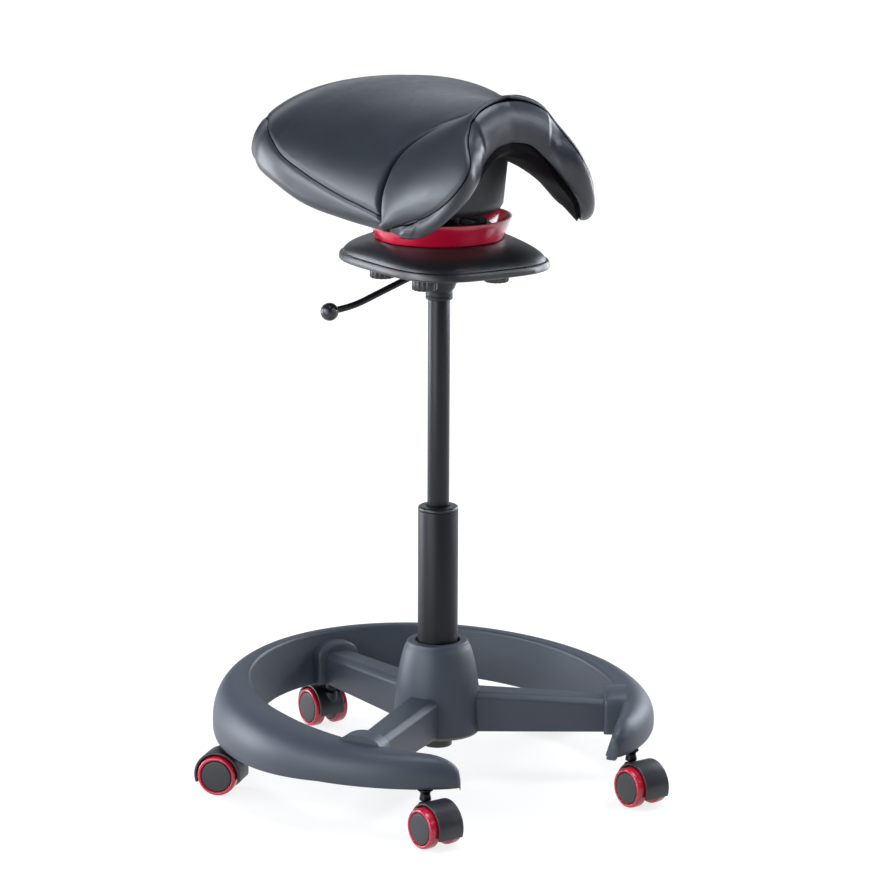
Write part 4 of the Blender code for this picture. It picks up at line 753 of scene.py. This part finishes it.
def saddle(across, y, depth=None):
    """Arches across the saddle: x = w |sin a|^(2/p), z = rim + (crown - rim) |cos a|^(2/p), a from -90 to 90 degrees;
    past the last station they close along a superellipse. With a depth, the underside's arches."""
    y = np.asarray(y, float)
    y = np.broadcast_to(y if y.ndim > 1 else y[:, None], (len(y), len(across)))
    last = REAR_Y[-1]
    curves = (REAR_HALF_WIDTH, REAR_CROWN, REAR_RIM, REAR_POWER)
    half, crown, rim, power = (smooth_through(REAR_Y, v, np.minimum(y, last)) for v in curves)
    k = np.clip((y - last) / (REAR_END_Y - last), 0, 1)
    shrink = (1 - k**REAR_END_POWER) ** (1 / REAR_END_POWER)
    end_rim = rim + (REAR_END_RIM - rim) * k
    half, crown, rim = half * shrink, end_rim + (crown - rim) * shrink, end_rim
    if depth is not None:
        half = half - (RIM_TUCK + depth) * shrink
        crown = crown - (CUSHION_DEPTH + depth) * shrink
        rim = rim - RIM_DROP * shrink
    angle = np.asarray(across)[None, :] * pi / 2
    x = half * np.sign(angle) * np.abs(np.sin(angle)) ** (2 / power)
    z = rim + (crown - rim) * np.abs(np.cos(angle)) ** (2 / power)
    return np.stack((x, y + 0 * x, SEAT_Z + z), -1)


def lobe_edge(points, across):
    """Mirrored edge curve of the front lobes through points given for one side."""
    points = np.array(points)
    steps = np.linalg.norm(np.diff(points, axis=0), axis=1)
    keys = np.concatenate(([0.0], np.cumsum(steps))) / steps.sum()
    curve = smooth_through(keys, points, np.abs(across))
    curve[:, 0] *= np.sign(across)
    curve[:, 2] += SEAT_Z
    return curve


def front_arches(across, rows, depth=0.0):
    """Outer and inner arches of the front lobes, ruled from the crease to the front seam and crowned between."""
    start = crease_line(across)[None]
    rear_outer, rear_inner = saddle(across, start)[0], saddle(across, start, depth)[0]
    seam, edge = lobe_edge(FRONT_SEAM, across), lobe_edge(FRONT_INNER, across)
    inward = (edge - seam) / np.linalg.norm(edge - seam, axis=1)[:, None]
    edge = edge + inward * np.broadcast_to(depth, len(across))[:, None]
    out = (rear_outer + seam) / 2 - np.array((0.0, CREASE_Y[-1], SEAT_Z - CUSHION_DEPTH * 4))
    out /= np.linalg.norm(out, axis=1)[:, None]
    t = np.asarray(rows)[:, None, None]
    inner = rear_inner * (1 - t) + edge * t
    outer = rear_outer * (1 - t) + seam * t + out * FRONT_CROWN * 4 * t * (1 - t)
    return outer, inner


def roll_in(distance, radius):
    """How far an edge rolled to a radius lies below its flat at a distance from it."""
    into = np.clip(1 - distance / radius, 0, 1)
    return radius * (1 - np.sqrt(1 - into**2))


def grid_normals(grid):
    """Unit normals of a grid of points, from its two directions of difference."""
    made = np.cross(np.gradient(grid, axis=1), np.gradient(grid, axis=0))
    length = np.linalg.norm(made, axis=-1)[..., None]
    return made / np.maximum(length, 1e-12)


def cushion(name, loops, seam_mm, along_mm, node_name, pins):
    """Closed cushion over loops of points, swelled by its foam between pinned seams, then smoothed once."""
    verts, faces = zipped(loops)
    mesh = bpy.data.meshes.new(name)
    mesh.from_pydata((verts + COLUMN).tolist(), [], faces)
    mesh.materials.append(finishes()["leather"])
    for key, values in (("seam_mm", seam_mm), ("along_mm", along_mm), ("pin", pins)):
        attribute = mesh.attributes.new(key, "FLOAT", "POINT")
        attribute.data.foreach_set("value", np.ascontiguousarray(values.reshape(-1), np.float32))
    work = bmesh.new()
    work.from_mesh(mesh)
    bmesh.ops.remove_doubles(work, verts=work.verts, dist=1e-5)
    bmesh.ops.recalc_face_normals(work, faces=work.faces)
    work.to_mesh(mesh)
    work.free()
    made = bpy.data.objects.new(name, mesh)
    bpy.context.scene.collection.objects.link(made)
    swell(made)
    mesh.shade_smooth()
    smooth = made.modifiers.new("smooth", "SUBSURF")
    smooth.levels = 1
    smooth.render_levels = 1
    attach(made, "seat")
    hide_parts(node_name)
    return made


def swell(obj):
    """Let foam press the cover out: cloth under pressure, held at its seams and underside, and capped."""
    mesh = obj.data
    count = len(mesh.vertices)
    rest = np.empty(count * 3, np.float32)
    mesh.vertices.foreach_get("co", rest)
    pins = np.empty(count, np.float32)
    mesh.attributes["pin"].data.foreach_get("value", pins)
    held = obj.vertex_groups.new(name="held")
    for weight in (0.25, 0.5, 0.75, 1.0):
        chosen = np.flatnonzero(np.round(pins * 4) == weight * 4)
        held.add(chosen.tolist(), weight, "REPLACE")
    cloth = obj.modifiers.new("foam", "CLOTH")
    cloth.settings.quality = 4
    cloth.settings.mass = 0.3
    cloth.settings.use_pressure = True
    cloth.settings.uniform_pressure_force = 4.0
    cloth.settings.vertex_group_mass = held.name
    cloth.settings.effector_weights.gravity = 0.0
    cloth.collision_settings.use_collision = False
    scene = bpy.context.scene
    for step in range(1, 21):
        scene.frame_set(step)
    swelled = obj.evaluated_get(bpy.context.evaluated_depsgraph_get()).data
    now = np.empty(count * 3, np.float32)
    swelled.vertices.foreach_get("co", now)
    move = (now - rest).reshape(-1, 3)
    length = np.linalg.norm(move, axis=1)
    cap = scene.stool_seat.swell
    move *= (cap * np.tanh(length / cap) / np.maximum(length, 1e-9))[:, None]
    obj.modifiers.remove(cloth)
    obj.vertex_groups.remove(held)
    scene.frame_set(1)
    mesh.vertices.foreach_set("co", (rest.reshape(-1, 3) + move).reshape(-1))
    mesh.update()


def closing(outer, inner):
    """Loops of a cushion: outer arch, a tucked corner, the underside back, and a corner."""
    span = outer - inner
    right = (outer[:, -1:] + inner[:, -1:]) / 2 + span[:, -1:] * (0.28, 0.0, -0.42)
    left = (outer[:, :1] + inner[:, :1]) / 2 + span[:, :1] * (0.28, 0.0, -0.42)
    return np.concatenate((outer, right, inner[:, ::-1], left), 1)


def zipped(loops):
    """Skin over closing loops, each end shut by a strip of faces between its two arches."""
    count, around = loops.shape[:2]
    arch = around // 2 - 1
    j = np.arange(arch - 1)
    strip = np.column_stack((j, j + 1, 2 * arch - j - 1, 2 * arch - j))
    ends = strip.tolist() + [[arch - 1, arch, arch + 1], [2 * arch + 1, 0, 2 * arch]]
    last = (count - 1) * around
    faces = quads(count, around) + ends + [[index + last for index in face] for face in ends]
    return loops.reshape(-1, 3), faces


def rear_cushion(settings):
    """Rear cushion: arches from the crease to the closed end, drawn in along a seam that follows a falling line
    in side view, and rolled over into the crease."""
    across = np.linspace(-1, 1, 127)
    turn = np.radians(np.linspace(0, 88, 26)[1:])
    tail = REAR_Y[-1] + (REAR_END_Y - REAR_Y[-1]) * np.sin(turn) ** (2 / REAR_END_POWER)
    near = np.linspace(0, 1, 64)[:, None] ** 1.15
    crease_y = crease_line(across) + 0.0004
    y = np.concatenate((crease_y + (REAR_Y[-1] - crease_y) * near, np.repeat(tail[:, None], len(across), 1)))
    outer, inner = saddle(across, y), saddle(across, y, 0.0)
    normal = grid_normals(outer)
    normal *= np.sign((normal * (outer - inner)).sum(-1))[..., None]
    drop = outer[..., 2] - SEAT_Z - smooth_through(SEAM_Y, SEAM_Z, outer[..., 1])
    flat = np.sqrt(np.maximum(1e-3, 1 - normal[..., 2] ** 2))
    seam = drop / np.maximum(flat, 0.35)
    groove = settings.seam_depth * np.exp(-((seam / settings.seam_width) ** 2))
    crease = roll_in(y - crease_y, settings.crease_roll)
    outer = outer - normal * (groove + crease)[..., None]
    loops = closing(outer, inner)
    mm = np.full(loops.shape[:2], 60.0)
    mm[:, : len(across)] = seam * 1000
    along = np.zeros(loops.shape[:2])
    side = np.where(np.abs(outer[..., 0]) > 0.11, outer[..., 1], outer[..., 0])
    along[:, : len(across)] = side * 1000
    pins = np.ones(loops.shape[:2])
    pins[:, 4 : len(across) - 4] = np.exp(-((seam / 0.005) ** 2))[:, 4:-4]
    pins[:3] = 1.0
    pins[-2:] = 1.0
    return cushion("rear_saddle_cushion", loops, mm, along, "rear_cushion", pins)


def front_cushion(settings):
    """Front lobes: arches from the crease to the front seam, then a crowned face that runs in to the arch below,
    puckered a little over its middle."""
    across = np.linspace(-1, 1, 161)
    rows = np.linspace(0, 1, 40)
    outer, inner = front_arches(across, rows)
    outer[:, :, 1] -= 0.0004 * (1 - rows)[:, None]
    inner[:, :, 1] -= 0.0004 * (1 - rows)[:, None]
    normal = grid_normals(outer)
    normal *= np.sign((normal * (outer - inner)).sum(-1))[..., None]
    span = np.linalg.norm(outer[-1] - outer[0], axis=-1)
    from_crease = rows[:, None] * span
    to_seam = (1 - rows)[:, None] * span
    groove = settings.seam_depth * np.exp(-((to_seam / settings.seam_width) ** 2))
    crease = roll_in(from_crease, settings.crease_roll)
    outer = outer - normal * (groove + crease)[..., None]
    s = np.linspace(0, 1, 15)[1:-1, None, None]
    start, end = outer[-1], inner[-1]
    out = np.cross(np.gradient(start, axis=0), end - start)
    out /= np.linalg.norm(out, axis=1)[:, None]
    out *= np.sign(-out[:, 1:2])
    kernel = np.hanning(25) / np.hanning(25).sum()
    out = np.pad(out, ((12, 12), (0, 0)), "edge")
    out = np.stack([np.convolve(out[:, axis], kernel, "valid") for axis in range(3)], 1)
    out /= np.linalg.norm(out, axis=1)[:, None]
    wide = np.linalg.norm(end - start, axis=1)[:, None]
    bulge = np.minimum(FACE_CROWN * 1.6, 0.28 * wide) * (4 * s * (1 - s)) ** 0.75
    waves = (np.sin(across * 71) + np.sin(across * 43 + 1)) * np.exp(-((across / 0.16) ** 2))
    ripple = 0.00012 * waves[:, None] * np.sin(pi * s)
    face = start * (1 - s) + end * s + out * (bulge + ripple)
    face_mm = -np.linalg.norm(face - start, axis=-1) * 1000
    length = np.concatenate(([0.0], np.cumsum(np.linalg.norm(np.diff(start, axis=0), axis=1)))) * 1000
    top = np.concatenate((outer, face, inner[-1:]), 0)
    below = np.concatenate((inner, np.repeat(inner[-1:], len(face) + 1, 0)), 0)
    loops = closing(top, below)
    n = len(across)
    mm = np.full(loops.shape[:2], 60.0)
    mm[: len(rows), :n] = to_seam * 1000
    mm[len(rows) : len(rows) + len(face), :n] = face_mm
    along = np.zeros(loops.shape[:2])
    along[:, :n] = length
    pins = np.ones(loops.shape[:2])
    pins[3 : len(rows) + len(face), 4 : n - 4] = np.exp(-((mm[3 : len(rows) + len(face), 4 : n - 4] / 5) ** 2))
    pins[:, :n][:, np.abs(across) > 0.72] = 1.0
    return cushion("front_saddle_cushion", loops, mm, along, "front_cushion", pins)


def shell_part():
    """Shell under the cushions: the same arches set in by a gap; its wall thins towards the front and the sides."""
    across = np.linspace(-0.9, 0.9, 81)
    rows = np.linspace(0, 0.9, 16)
    y = np.linspace(REAR_Y[-1] - 0.004, crease_line(across), 40)
    thin = 1 - 0.7 * np.abs(across) ** 3
    sides = []
    for wall in (0.0, SHELL_WALL):
        back = saddle(across, y, SHELL_GAP + wall * thin)
        ahead = front_arches(across, rows, SHELL_GAP)[1]
        deep = front_arches(across, rows, SHELL_GAP + wall * thin)[1]
        share = (1 - 0.75 * rows)[:, None, None]
        sides.append(np.concatenate((back, (ahead * (1 - share) + deep * share)[1:]), 0))
    return moved(zipped(closing(*sides)), COLUMN)


def neck_part():
    """Oval neck that widens upwards under the shell: ovals at rising heights up to the shell's underside."""
    depth = SHELL_GAP + 0.006
    count = 96
    t = np.arange(count) * 2 * pi / count
    bottom, pivot = 0.7229, low("seat_neck")

    def level(scale, z):
        return np.column_stack((0.082 * scale * np.cos(t), 0.090 * scale * np.sin(t), np.full(count, z)))

    def under(scale):
        plan = level(scale, 0.0)
        fan = np.linspace(-1, 1, 201)
        arches = saddle(fan, plan[:, 1], depth)
        z = [np.interp(x, arch[:, 0], arch[:, 2]) for x, arch in zip(plan[:, 0], arches)]
        plan[:, 2] = np.array(z)
        return plan

    waist = level(0.92, bottom + 0.010)
    shoulder = under(1.0)
    s = np.linspace(0, 1, 14)[:, None, None]
    flank = waist * (1 - s) + (shoulder - (0, 0, 0.002)) * s
    low_rows = [level(0.4, bottom), level(0.76, bottom), level(0.83, bottom + 0.0015), level(0.885, bottom + 0.005)]
    rows = np.concatenate((np.array(low_rows), flank, np.array([under(k) for k in (0.97, 0.7, 0.4, 0.15)])), 0)
    stub = revolve(((0.0, pivot), (0.024, pivot), (0.024, bottom + 0.006), (0.0, bottom + 0.006)), 64)
    return [moved(skin(rows), COLUMN), moved(stub, COLUMN)]


# Plate, mechanism and lift

PLATE_HALF_X, PLATE_HALF_Y, PLATE_POWER, PLATE_FORWARD = 0.107, 0.126, 3.3, 0.010
PLATE_RIM, PLATE_DOME = 0.010, 0.0315
COLLAR_RADII = (0.079, 0.089)
BOSS_RADIUS, BOSS_HEIGHT, POCKET_RADIUS, POCKET_DEPTH = 0.062, 0.017, 0.040, 0.012
BLOCK_HALF_X, BLOCK_HALF_Y = 0.062, 0.066
LEVER_RADIUS, BALL_RADIUS = 0.004, 0.011


def plate_part():
    """Domed cover: superellipse loops from the hollow below, round the rim, over the dome to the boss and
    its pocket."""
    base = low("plate_cover")
    rim, top = base + PLATE_RIM, base + PLATE_DOME
    x, y, p, f = PLATE_HALF_X, PLATE_HALF_Y, PLATE_POWER, PLATE_FORWARD
    block_top = high("socket_block") + GAP
    hollow_x, hollow_y = BLOCK_HALF_X + 0.009, BLOCK_HALF_Y + 0.018
    s = np.linspace(0, 1, 12)[1:-1]
    dome = []
    for k in s:
        share = k**1.5
        half_x = (x - 0.004) * (1 - share) + 0.083 * share
        half_y = (y - 0.005) * (1 - share) + 0.084 * share
        dome.append(oval(half_x, half_y, p + (2.1 - p) * share, rim + (top - rim) * k**0.8, f * (1 - share)))
    loops = [
        oval(0.3 * hollow_x, 0.3 * hollow_y, 4.0, block_top),
        oval(hollow_x - 0.001, hollow_y - 0.001, 4.0, block_top),
        oval(hollow_x, hollow_y, 4.0, block_top - 0.001),
        oval(hollow_x, hollow_y, 4.0, base + 0.001),
        oval(hollow_x + 0.001, hollow_y + 0.001, 4.0, base),
        oval(x - 0.003, y - 0.003, p, base, f),
        oval(x - 0.001, y - 0.001, p, base + 0.0008, f),
        oval(x, y, p, base + 0.0025, f),
        oval(x - 0.0006, y - 0.0006, p, rim - 0.002, f),
        oval(x - 0.0016, y - 0.0018, p, rim - 0.0002, f),
        oval(x - 0.004, y - 0.005, p, rim + 0.0006, f),
        *dome,
        oval(0.079, 0.079, 2.0, top - 0.0005),
        oval(0.074, 0.074, 2.0, top),
        oval(BOSS_RADIUS + 0.004, BOSS_RADIUS + 0.004, 2.0, top + BOSS_HEIGHT - 0.003),
        oval(BOSS_RADIUS, BOSS_RADIUS, 2.0, top + BOSS_HEIGHT),
        oval(POCKET_RADIUS, POCKET_RADIUS, 2.0, top + BOSS_HEIGHT),
        oval(POCKET_RADIUS, POCKET_RADIUS, 2.0, top - POCKET_DEPTH),
    ]
    return moved(skin(loops), COLUMN)


def collar_ring():
    """Thin flared ring with eased lips."""
    bottom, top = low("red_collar"), high("red_collar")
    (r0, r1), sheet = COLLAR_RADII, 0.0025
    corners = ((r1, top), (r0, bottom), (r0 - sheet, bottom), (r1 - sheet, top))
    return moved(revolve(rounded_loop(corners, 0.0010, 4), 144, closed=True), COLUMN)


def socket_parts():
    """Socket under the plate: collar with two turned rings, flaring into a rounded block."""
    bottom, top = low("socket_block"), high("socket_block")
    block_bottom = bottom + 0.041
    flare = [
        (0.0, block_bottom + 0.004),
        (0.038, block_bottom + 0.004),
        (0.038, block_bottom - 0.001),
        (0.030, block_bottom - 0.009),
        (0.0236, bottom + 0.025),
        (0.0185, bottom + 0.0135),
        (0.0162, bottom + 0.0110),
        (0.0167, bottom + 0.0090),
        (0.0167, bottom + 0.0052),
        (0.0158, bottom + 0.0046),
        (0.0167, bottom + 0.0040),
        (0.0167, bottom + 0.0005),
        (0.0140, bottom),
        (0.0140, bottom + 0.002),
        (0.0, bottom + 0.002),
    ]
    heights = (block_bottom, block_bottom + 0.0008, block_bottom + 0.002, top)
    insets = (0.002, 0.0006, 0.0, 0.0)
    block = skin([oval(BLOCK_HALF_X - i, BLOCK_HALF_Y - i, 5.0, z, 0.0, 96) for z, i in zip(heights, insets)])
    return [moved(revolve(rounded(flare, 0.0015, 4), 96), COLUMN), moved(block, COLUMN)]


def knob_part(side, ribs):
    """Clamp knob: radius R (1 - 0.09 (0.5 - 0.5 cos(n t))^2) round its axis, eased at both ends."""
    place = np.array(JOINTS[f"knob_{side}_turn"]["pos_m"])
    count = ribs * 12
    t = np.arange(count) * 2 * pi / count
    radius = 0.0155 * (1 - 0.09 * (0.5 - 0.5 * np.cos(ribs * t)) ** 2)
    plan = np.column_stack((radius * np.cos(t), radius * np.sin(t)))
    height = place[2] - low(f"clamp_knob_{side}")
    levels = ((0.35, 0.0), (0.86, 0.0), (0.95, 0.0006), (1.0, 0.0024), (1.0, height - 0.002), (0.95, height - 0.0006))
    rows = [np.column_stack((plan * k, np.full(count, z - height))) for k, z in levels]
    return moved(skin(rows), place)


def lever_path():
    """Middle line of the lever, with eased bends."""
    z = JOINTS["lever_tip"]["pos_m"][2]
    corners = ((0.004, z), (-0.036, z), (-0.122, z - 0.029), (-0.157, z - 0.033))
    line = rounded(corners, 0.016, 9)
    return np.column_stack((line[:, 0], np.full(len(line), COLUMN_Y), line[:, 1]))


def tube_parts():
    """Outer tube with eased ends."""
    top, bottom = high("column_tube"), low("column_tube")
    profile = ((TUBE_RADIUS - 0.002, top), (TUBE_RADIUS, top), (TUBE_RADIUS, bottom), (TUBE_RADIUS - 0.002, bottom))
    return [moved(revolve(rounded_loop(profile, 0.0006, 3), 96, closed=True), COLUMN)]


def bush_parts():
    """Guide bush: a cap over the tube's mouth with a rounded shoulder."""
    top, seat = high("guide_bush"), high("column_tube") + GAP
    slide = CYLINDER_RADIUS + GAP
    profile = (
        (slide, top - 0.001),
        (slide + 0.0025, top),
        (TUBE_RADIUS - 0.0015, top - 0.0008),
        (TUBE_RADIUS + 0.0002, top - 0.003),
        (TUBE_RADIUS + 0.0002, seat),
        (TUBE_RADIUS - 0.0024, seat),
        (TUBE_RADIUS - 0.0024, seat - 0.040),
        (slide, seat - 0.040),
    )
    return [moved(revolve(rounded_loop(profile, 0.0012, 4), 96, closed=True), COLUMN)]


# Operators


class STOOL_OT_foot_ring(bpy.types.Operator):
    """Build the foot ring with its collars"""

    bl_idname = "stool.foot_ring"
    bl_label = "Foot ring"

    def execute(self, context):
        base = context.scene.stool_base
        parts = [ring_part(base.stations, base.ridge_round)] + [collar_part(b) for b in ARM_BEARINGS]
        piece("foot_ring_moulding", parts, "moulding", "base", ("foot_ring",))
        return {"FINISHED"}


class STOOL_OT_hub(bpy.types.Operator):
    """Build the hub with its three arms"""

    bl_idname = "stool.hub"
    bl_label = "Hub and arms"

    def execute(self, context):
        parts = [hub_part()] + [arm_part(b) for b in ARM_BEARINGS]
        piece("hub_moulding", parts, "moulding", "base", ("base_spider",))
        return {"FINISHED"}


class STOOL_OT_castors(bpy.types.Operator):
    """Build the five twin-wheel castors"""

    bl_idname = "stool.castors"
    bl_label = "Castors"

    def execute(self, context):
        disc, tread = wheel_parts()
        hood, stem = hood_parts(), stem_part()
        for side in CASTORS:
            turn, place = castor_frame(side)
            name = f"castor_{side}"

            def put(part):
                return moved(part, place, turn)

            piece(f"{name}_stem_turned", [put(stem)], "dark_steel", "base", (f"{name}_stem",))
            parts = [put(part) for part in hood]
            piece(f"{name}_hood_moulding", parts, "wheel", f"{name}_fork", (f"{name}_hood",))
            for end, sign in (("left", 1), ("right", -1)):
                body = f"{name}_{end}_wheel"
                node_name = f"{name}_{end}"
                round_disc, round_tread = put(on_axle(disc, sign)), put(on_axle(tread, sign))
                piece(f"{node_name}_cover", [round_disc], "wheel", body, (f"{node_name}_disc",))
                piece(f"{node_name}_tyre", [round_tread], "tread", body, (f"{node_name}_tread",))
        return {"FINISHED"}


class STOOL_OT_lift(bpy.types.Operator):
    """Build the lift's tube, bush, cylinder and end cap"""

    bl_idname = "stool.lift"
    bl_label = "Lift"

    def execute(self, context):
        piece("lift_tube", tube_parts(), "tube", "base", ("column_tube",))
        piece("lift_bush", bush_parts(), "knob", "base", ("guide_bush",))
        top, bottom = high("gas_cylinder"), low("gas_cylinder")
        bar = ((0.0, top), (CYLINDER_RADIUS, top), (CYLINDER_RADIUS, bottom), (0.0, bottom))
        part = moved(revolve(rounded(bar, 0.001, 3), 72), COLUMN)
        piece("lift_cylinder", [part], "cylinder", "upper", ("gas_cylinder",))
        top, bottom = high("tube_end_cap"), low("tube_end_cap")
        lip = bottom + 0.0187
        cap = ((0.0, top), (0.0125, top), (0.0125, lip), (0.0185, lip), (0.0185, bottom), (0.0, bottom))
        part = moved(revolve(rounded(cap, 0.002, 4), 72), COLUMN)
        piece("lift_end_cap", [part], "knob", "base", ("tube_end_cap",))
        return {"FINISHED"}


class STOOL_OT_mechanism(bpy.types.Operator):
    """Build the socket, lever and clamp knobs"""

    bl_idname = "stool.mechanism"
    bl_label = "Mechanism"

    def execute(self, context):
        piece("lift_socket", socket_parts(), "casting", "upper", ("socket_block",))
        path = lever_path()
        piece("lever_bar", [sweep(path, LEVER_RADIUS)], "tube", "lever", ("lever_rod",))
        t = np.linspace(0, pi, 33)
        ball = revolve(np.column_stack((BALL_RADIUS * np.sin(t), BALL_RADIUS * np.cos(t))), 56)
        piece("lever_knob", [moved(ball, path[-1])], "knob", "lever", ("lever_ball",))
        ribs = context.scene.stool_lift.ribs
        for side in KNOBS:
            part = knob_part(side, ribs)
            nodes = (f"clamp_knob_{side}",)
            piece(f"clamp_{side}_moulding", [part], "knob", f"knob_{side}", nodes)
        return {"FINISHED"}


class STOOL_OT_plate(bpy.types.Operator):
    """Build the plate and its red collar"""

    bl_idname = "stool.plate"
    bl_label = "Plate and collar"

    def execute(self, context):
        piece("plate_moulding", [plate_part()], "plate", "upper", ("plate_cover",))
        piece("collar_ring", [collar_ring()], "collar", "upper", ("red_collar",))
        return {"FINISHED"}


class STOOL_OT_saddle(bpy.types.Operator):
    """Build the padded saddle on its shell and neck"""

    bl_idname = "stool.saddle"
    bl_label = "Saddle"

    def execute(self, context):
        settings = context.scene.stool_seat
        rear_cushion(settings)
        front_cushion(settings)
        piece("saddle_shell", [shell_part()], "shell", "seat", ("seat_shell",), bevel=0.0015)
        piece("saddle_neck", neck_part(), "neck", "seat", ("seat_neck",))
        return {"FINISHED"}


class STOOL_OT_solids(bpy.types.Operator):
    """Give the solids that stay in view their finishes"""

    bl_idname = "stool.solids"
    bl_label = "Carried solids"

    def execute(self, context):
        looks = {"gimbal_ring": "casting", "buffer_ring": "rubber"}
        names = ["thrust_bearing", "piston_rod", "valve_pin", "lever_pin", "gimbal_ring", "buffer_ring"]
        names += [f"castor_{side}_axle" for side in CASTORS]
        for name in names:
            mesh = frame["nodes"][name].data
            mesh.materials.clear()
            mesh.materials.append(finishes()[looks.get(name, "steel")])
        return {"FINISHED"}


CAMERA_OFF_COLUMN = Vector((-2.7144, -4.1990, 1.5792))


class STOOL_OT_stage(bpy.types.Operator):
    """Set the floor, the lights and the camera"""

    bl_idname = "stool.stage"
    bl_label = "Stage"

    def execute(self, context):
        scene = context.scene
        stage = scene.stool_stage
        mesh = bpy.data.meshes.new("studio_floor")
        size = 40.0
        mesh.from_pydata([(-size, -size, 0), (size, -size, 0), (size, size, 0), (-size, size, 0)], [], [(0, 1, 2, 3)])
        mesh.materials.append(studio_paper("background paper", stage.floor))
        floor = bpy.data.objects.new("studio_floor", mesh)
        scene.collection.objects.link(floor)
        # The paper's glow shows in polished surfaces, and the lamps alone light matt ones
        floor.visible_diffuse = False
        world = bpy.data.worlds.new("studio")
        world.use_nodes = True
        tree = world.node_tree
        around = tree.nodes["Background"]
        around.inputs["Color"].default_value = (0.84, 0.91, 1.0, 1.0)
        where = node(tree, "ShaderNodeTexCoord", {}).outputs["Generated"]
        height = node(tree, "ShaderNodeSeparateXYZ", {}, Vector=where).outputs["Z"]
        bounce = node(
            tree,
            "ShaderNodeMapRange",
            {"interpolation_type": "SMOOTHSTEP"},
            Value=height,
            From_Min=-0.6,
            From_Max=0.5,
            To_Min=stage.floor_light,
            To_Max=stage.sky_light,
        )
        tree.links.new(bounce.outputs[0], around.inputs["Strength"])
        # The room looks white, and lights the stool by its own gradient
        seen = node(tree, "ShaderNodeBackground", {}, Color=(1.0, 1.0, 1.0, 1.0), Strength=1.0)
        path = node(tree, "ShaderNodeLightPath", {})
        shaders = {0: path.outputs["Is Camera Ray"], 1: around.outputs[0], 2: seen.outputs[0]}
        mix = node(tree, "ShaderNodeMixShader", {}, shaders)
        tree.links.new(mix.outputs[0], tree.nodes["World Output"].inputs[0])
        scene.world = world
        whole, saddle_aim = (0.0, 0.0, 0.5), (-0.05, -0.08, 0.80)
        lights = (
            ("softbox_left", (-2.3, -0.6, 0.85), 1.9, 43.0, whole, 180),
            ("softbox_rear_left", (-1.7, 2.0, 0.7), 1.4, 60.0, whole, 180),
            ("softbox_back", (1.2, 2.8, 2.2), 2.4, 14.0, whole, 180),
            ("softbox_top", (0.15, -0.35, 3.0), 1.3, 52.0, whole, 180),
            ("softbox_right", (2.5, 0.5, 1.1), 1.5, 50.0, whole, 180),
            ("gridded_front", (0.9, -1.9, 1.9), 0.9, 1.0, saddle_aim, 30),
            ("gridded_left", (-1.9, 0.30, 1.45), 1.0, 2.4, saddle_aim, 30),
            ("gridded_right", (2.1, -0.95, 1.20), 0.9, 2.5, saddle_aim, 30),
        )
        for name, place, size, power, aim, spread in lights:
            lamp = bpy.data.lights.new(name, "AREA")
            lamp.shape = "SQUARE"
            lamp.size = size
            lamp.energy = power
            lamp.spread = radians(spread)
            lamp.color = (0.87, 0.93, 1.0)
            made = bpy.data.objects.new(name, lamp)
            made.location = place
            made.rotation_euler = (Vector(aim) - Vector(place)).to_track_quat("-Z", "Y").to_euler()
            scene.collection.objects.link(made)
        lens = bpy.data.cameras.new("camera")
        lens.lens = stage.lens
        lens.sensor_width = 36.0
        lens.shift_x = 0.0017
        lens.clip_end = 200.0
        camera = bpy.data.objects.new("camera", lens)
        turn = Matrix.Rotation(stage.azimuth, 4, "Z") @ Matrix.Rotation(pi / 2 - stage.pitch, 4, "X")
        turn = turn @ Matrix.Rotation(stage.roll, 4, "Z")
        camera.matrix_world = Matrix.Translation(CAMERA_OFF_COLUMN + Vector(COLUMN)) @ turn
        scene.collection.objects.link(camera)
        scene.camera = camera
        scene.view_settings.view_transform = "Standard"
        return {"FINISHED"}


OPERATORS = (
    STOOL_OT_foot_ring,
    STOOL_OT_hub,
    STOOL_OT_castors,
    STOOL_OT_lift,
    STOOL_OT_mechanism,
    STOOL_OT_plate,
    STOOL_OT_saddle,
    STOOL_OT_solids,
    STOOL_OT_stage,
)


class STOOL_PT_panel(bpy.types.Panel):
    """Lists the stool's settings and operators"""

    bl_label = "Saddle stool"
    bl_idname = "STOOL_PT_panel"
    bl_space_type = "VIEW_3D"
    bl_region_type = "UI"
    bl_category = "Stool"

    def draw(self, context):
        for key, _ in SETTINGS:
            group = getattr(context.scene, key)
            box = self.layout.box()
            for name in group.__annotations__:
                box.prop(group, name)
        for operator in OPERATORS:
            self.layout.operator(operator.bl_idname)


SETTINGS = (
    ("stool_seat", StoolSeatSettings),
    ("stool_base", StoolBaseSettings),
    ("stool_lift", StoolLiftSettings),
    ("stool_stage", StoolStageSettings),
)
CLASSES = (*(group for _, group in SETTINGS), *OPERATORS, STOOL_PT_panel)


def register():
    """Register the classes and hang the settings on the scene."""
    for cls in CLASSES:
        bpy.utils.register_class(cls)
    for key, group in SETTINGS:
        setattr(bpy.types.Scene, key, PointerProperty(type=group))


def unregister():
    """Undo register."""
    for key, _ in SETTINGS:
        delattr(bpy.types.Scene, key)
    for cls in reversed(CLASSES):
        bpy.utils.unregister_class(cls)


def main():
    """Build every piece."""
    register()
    for operator in OPERATORS:
        group, name = operator.bl_idname.split(".")
        if getattr(getattr(bpy.ops, group), name)() != {"FINISHED"}:
            raise RuntimeError(f"{operator.bl_label} did not finish")


if __name__ == "__main__":
    main()
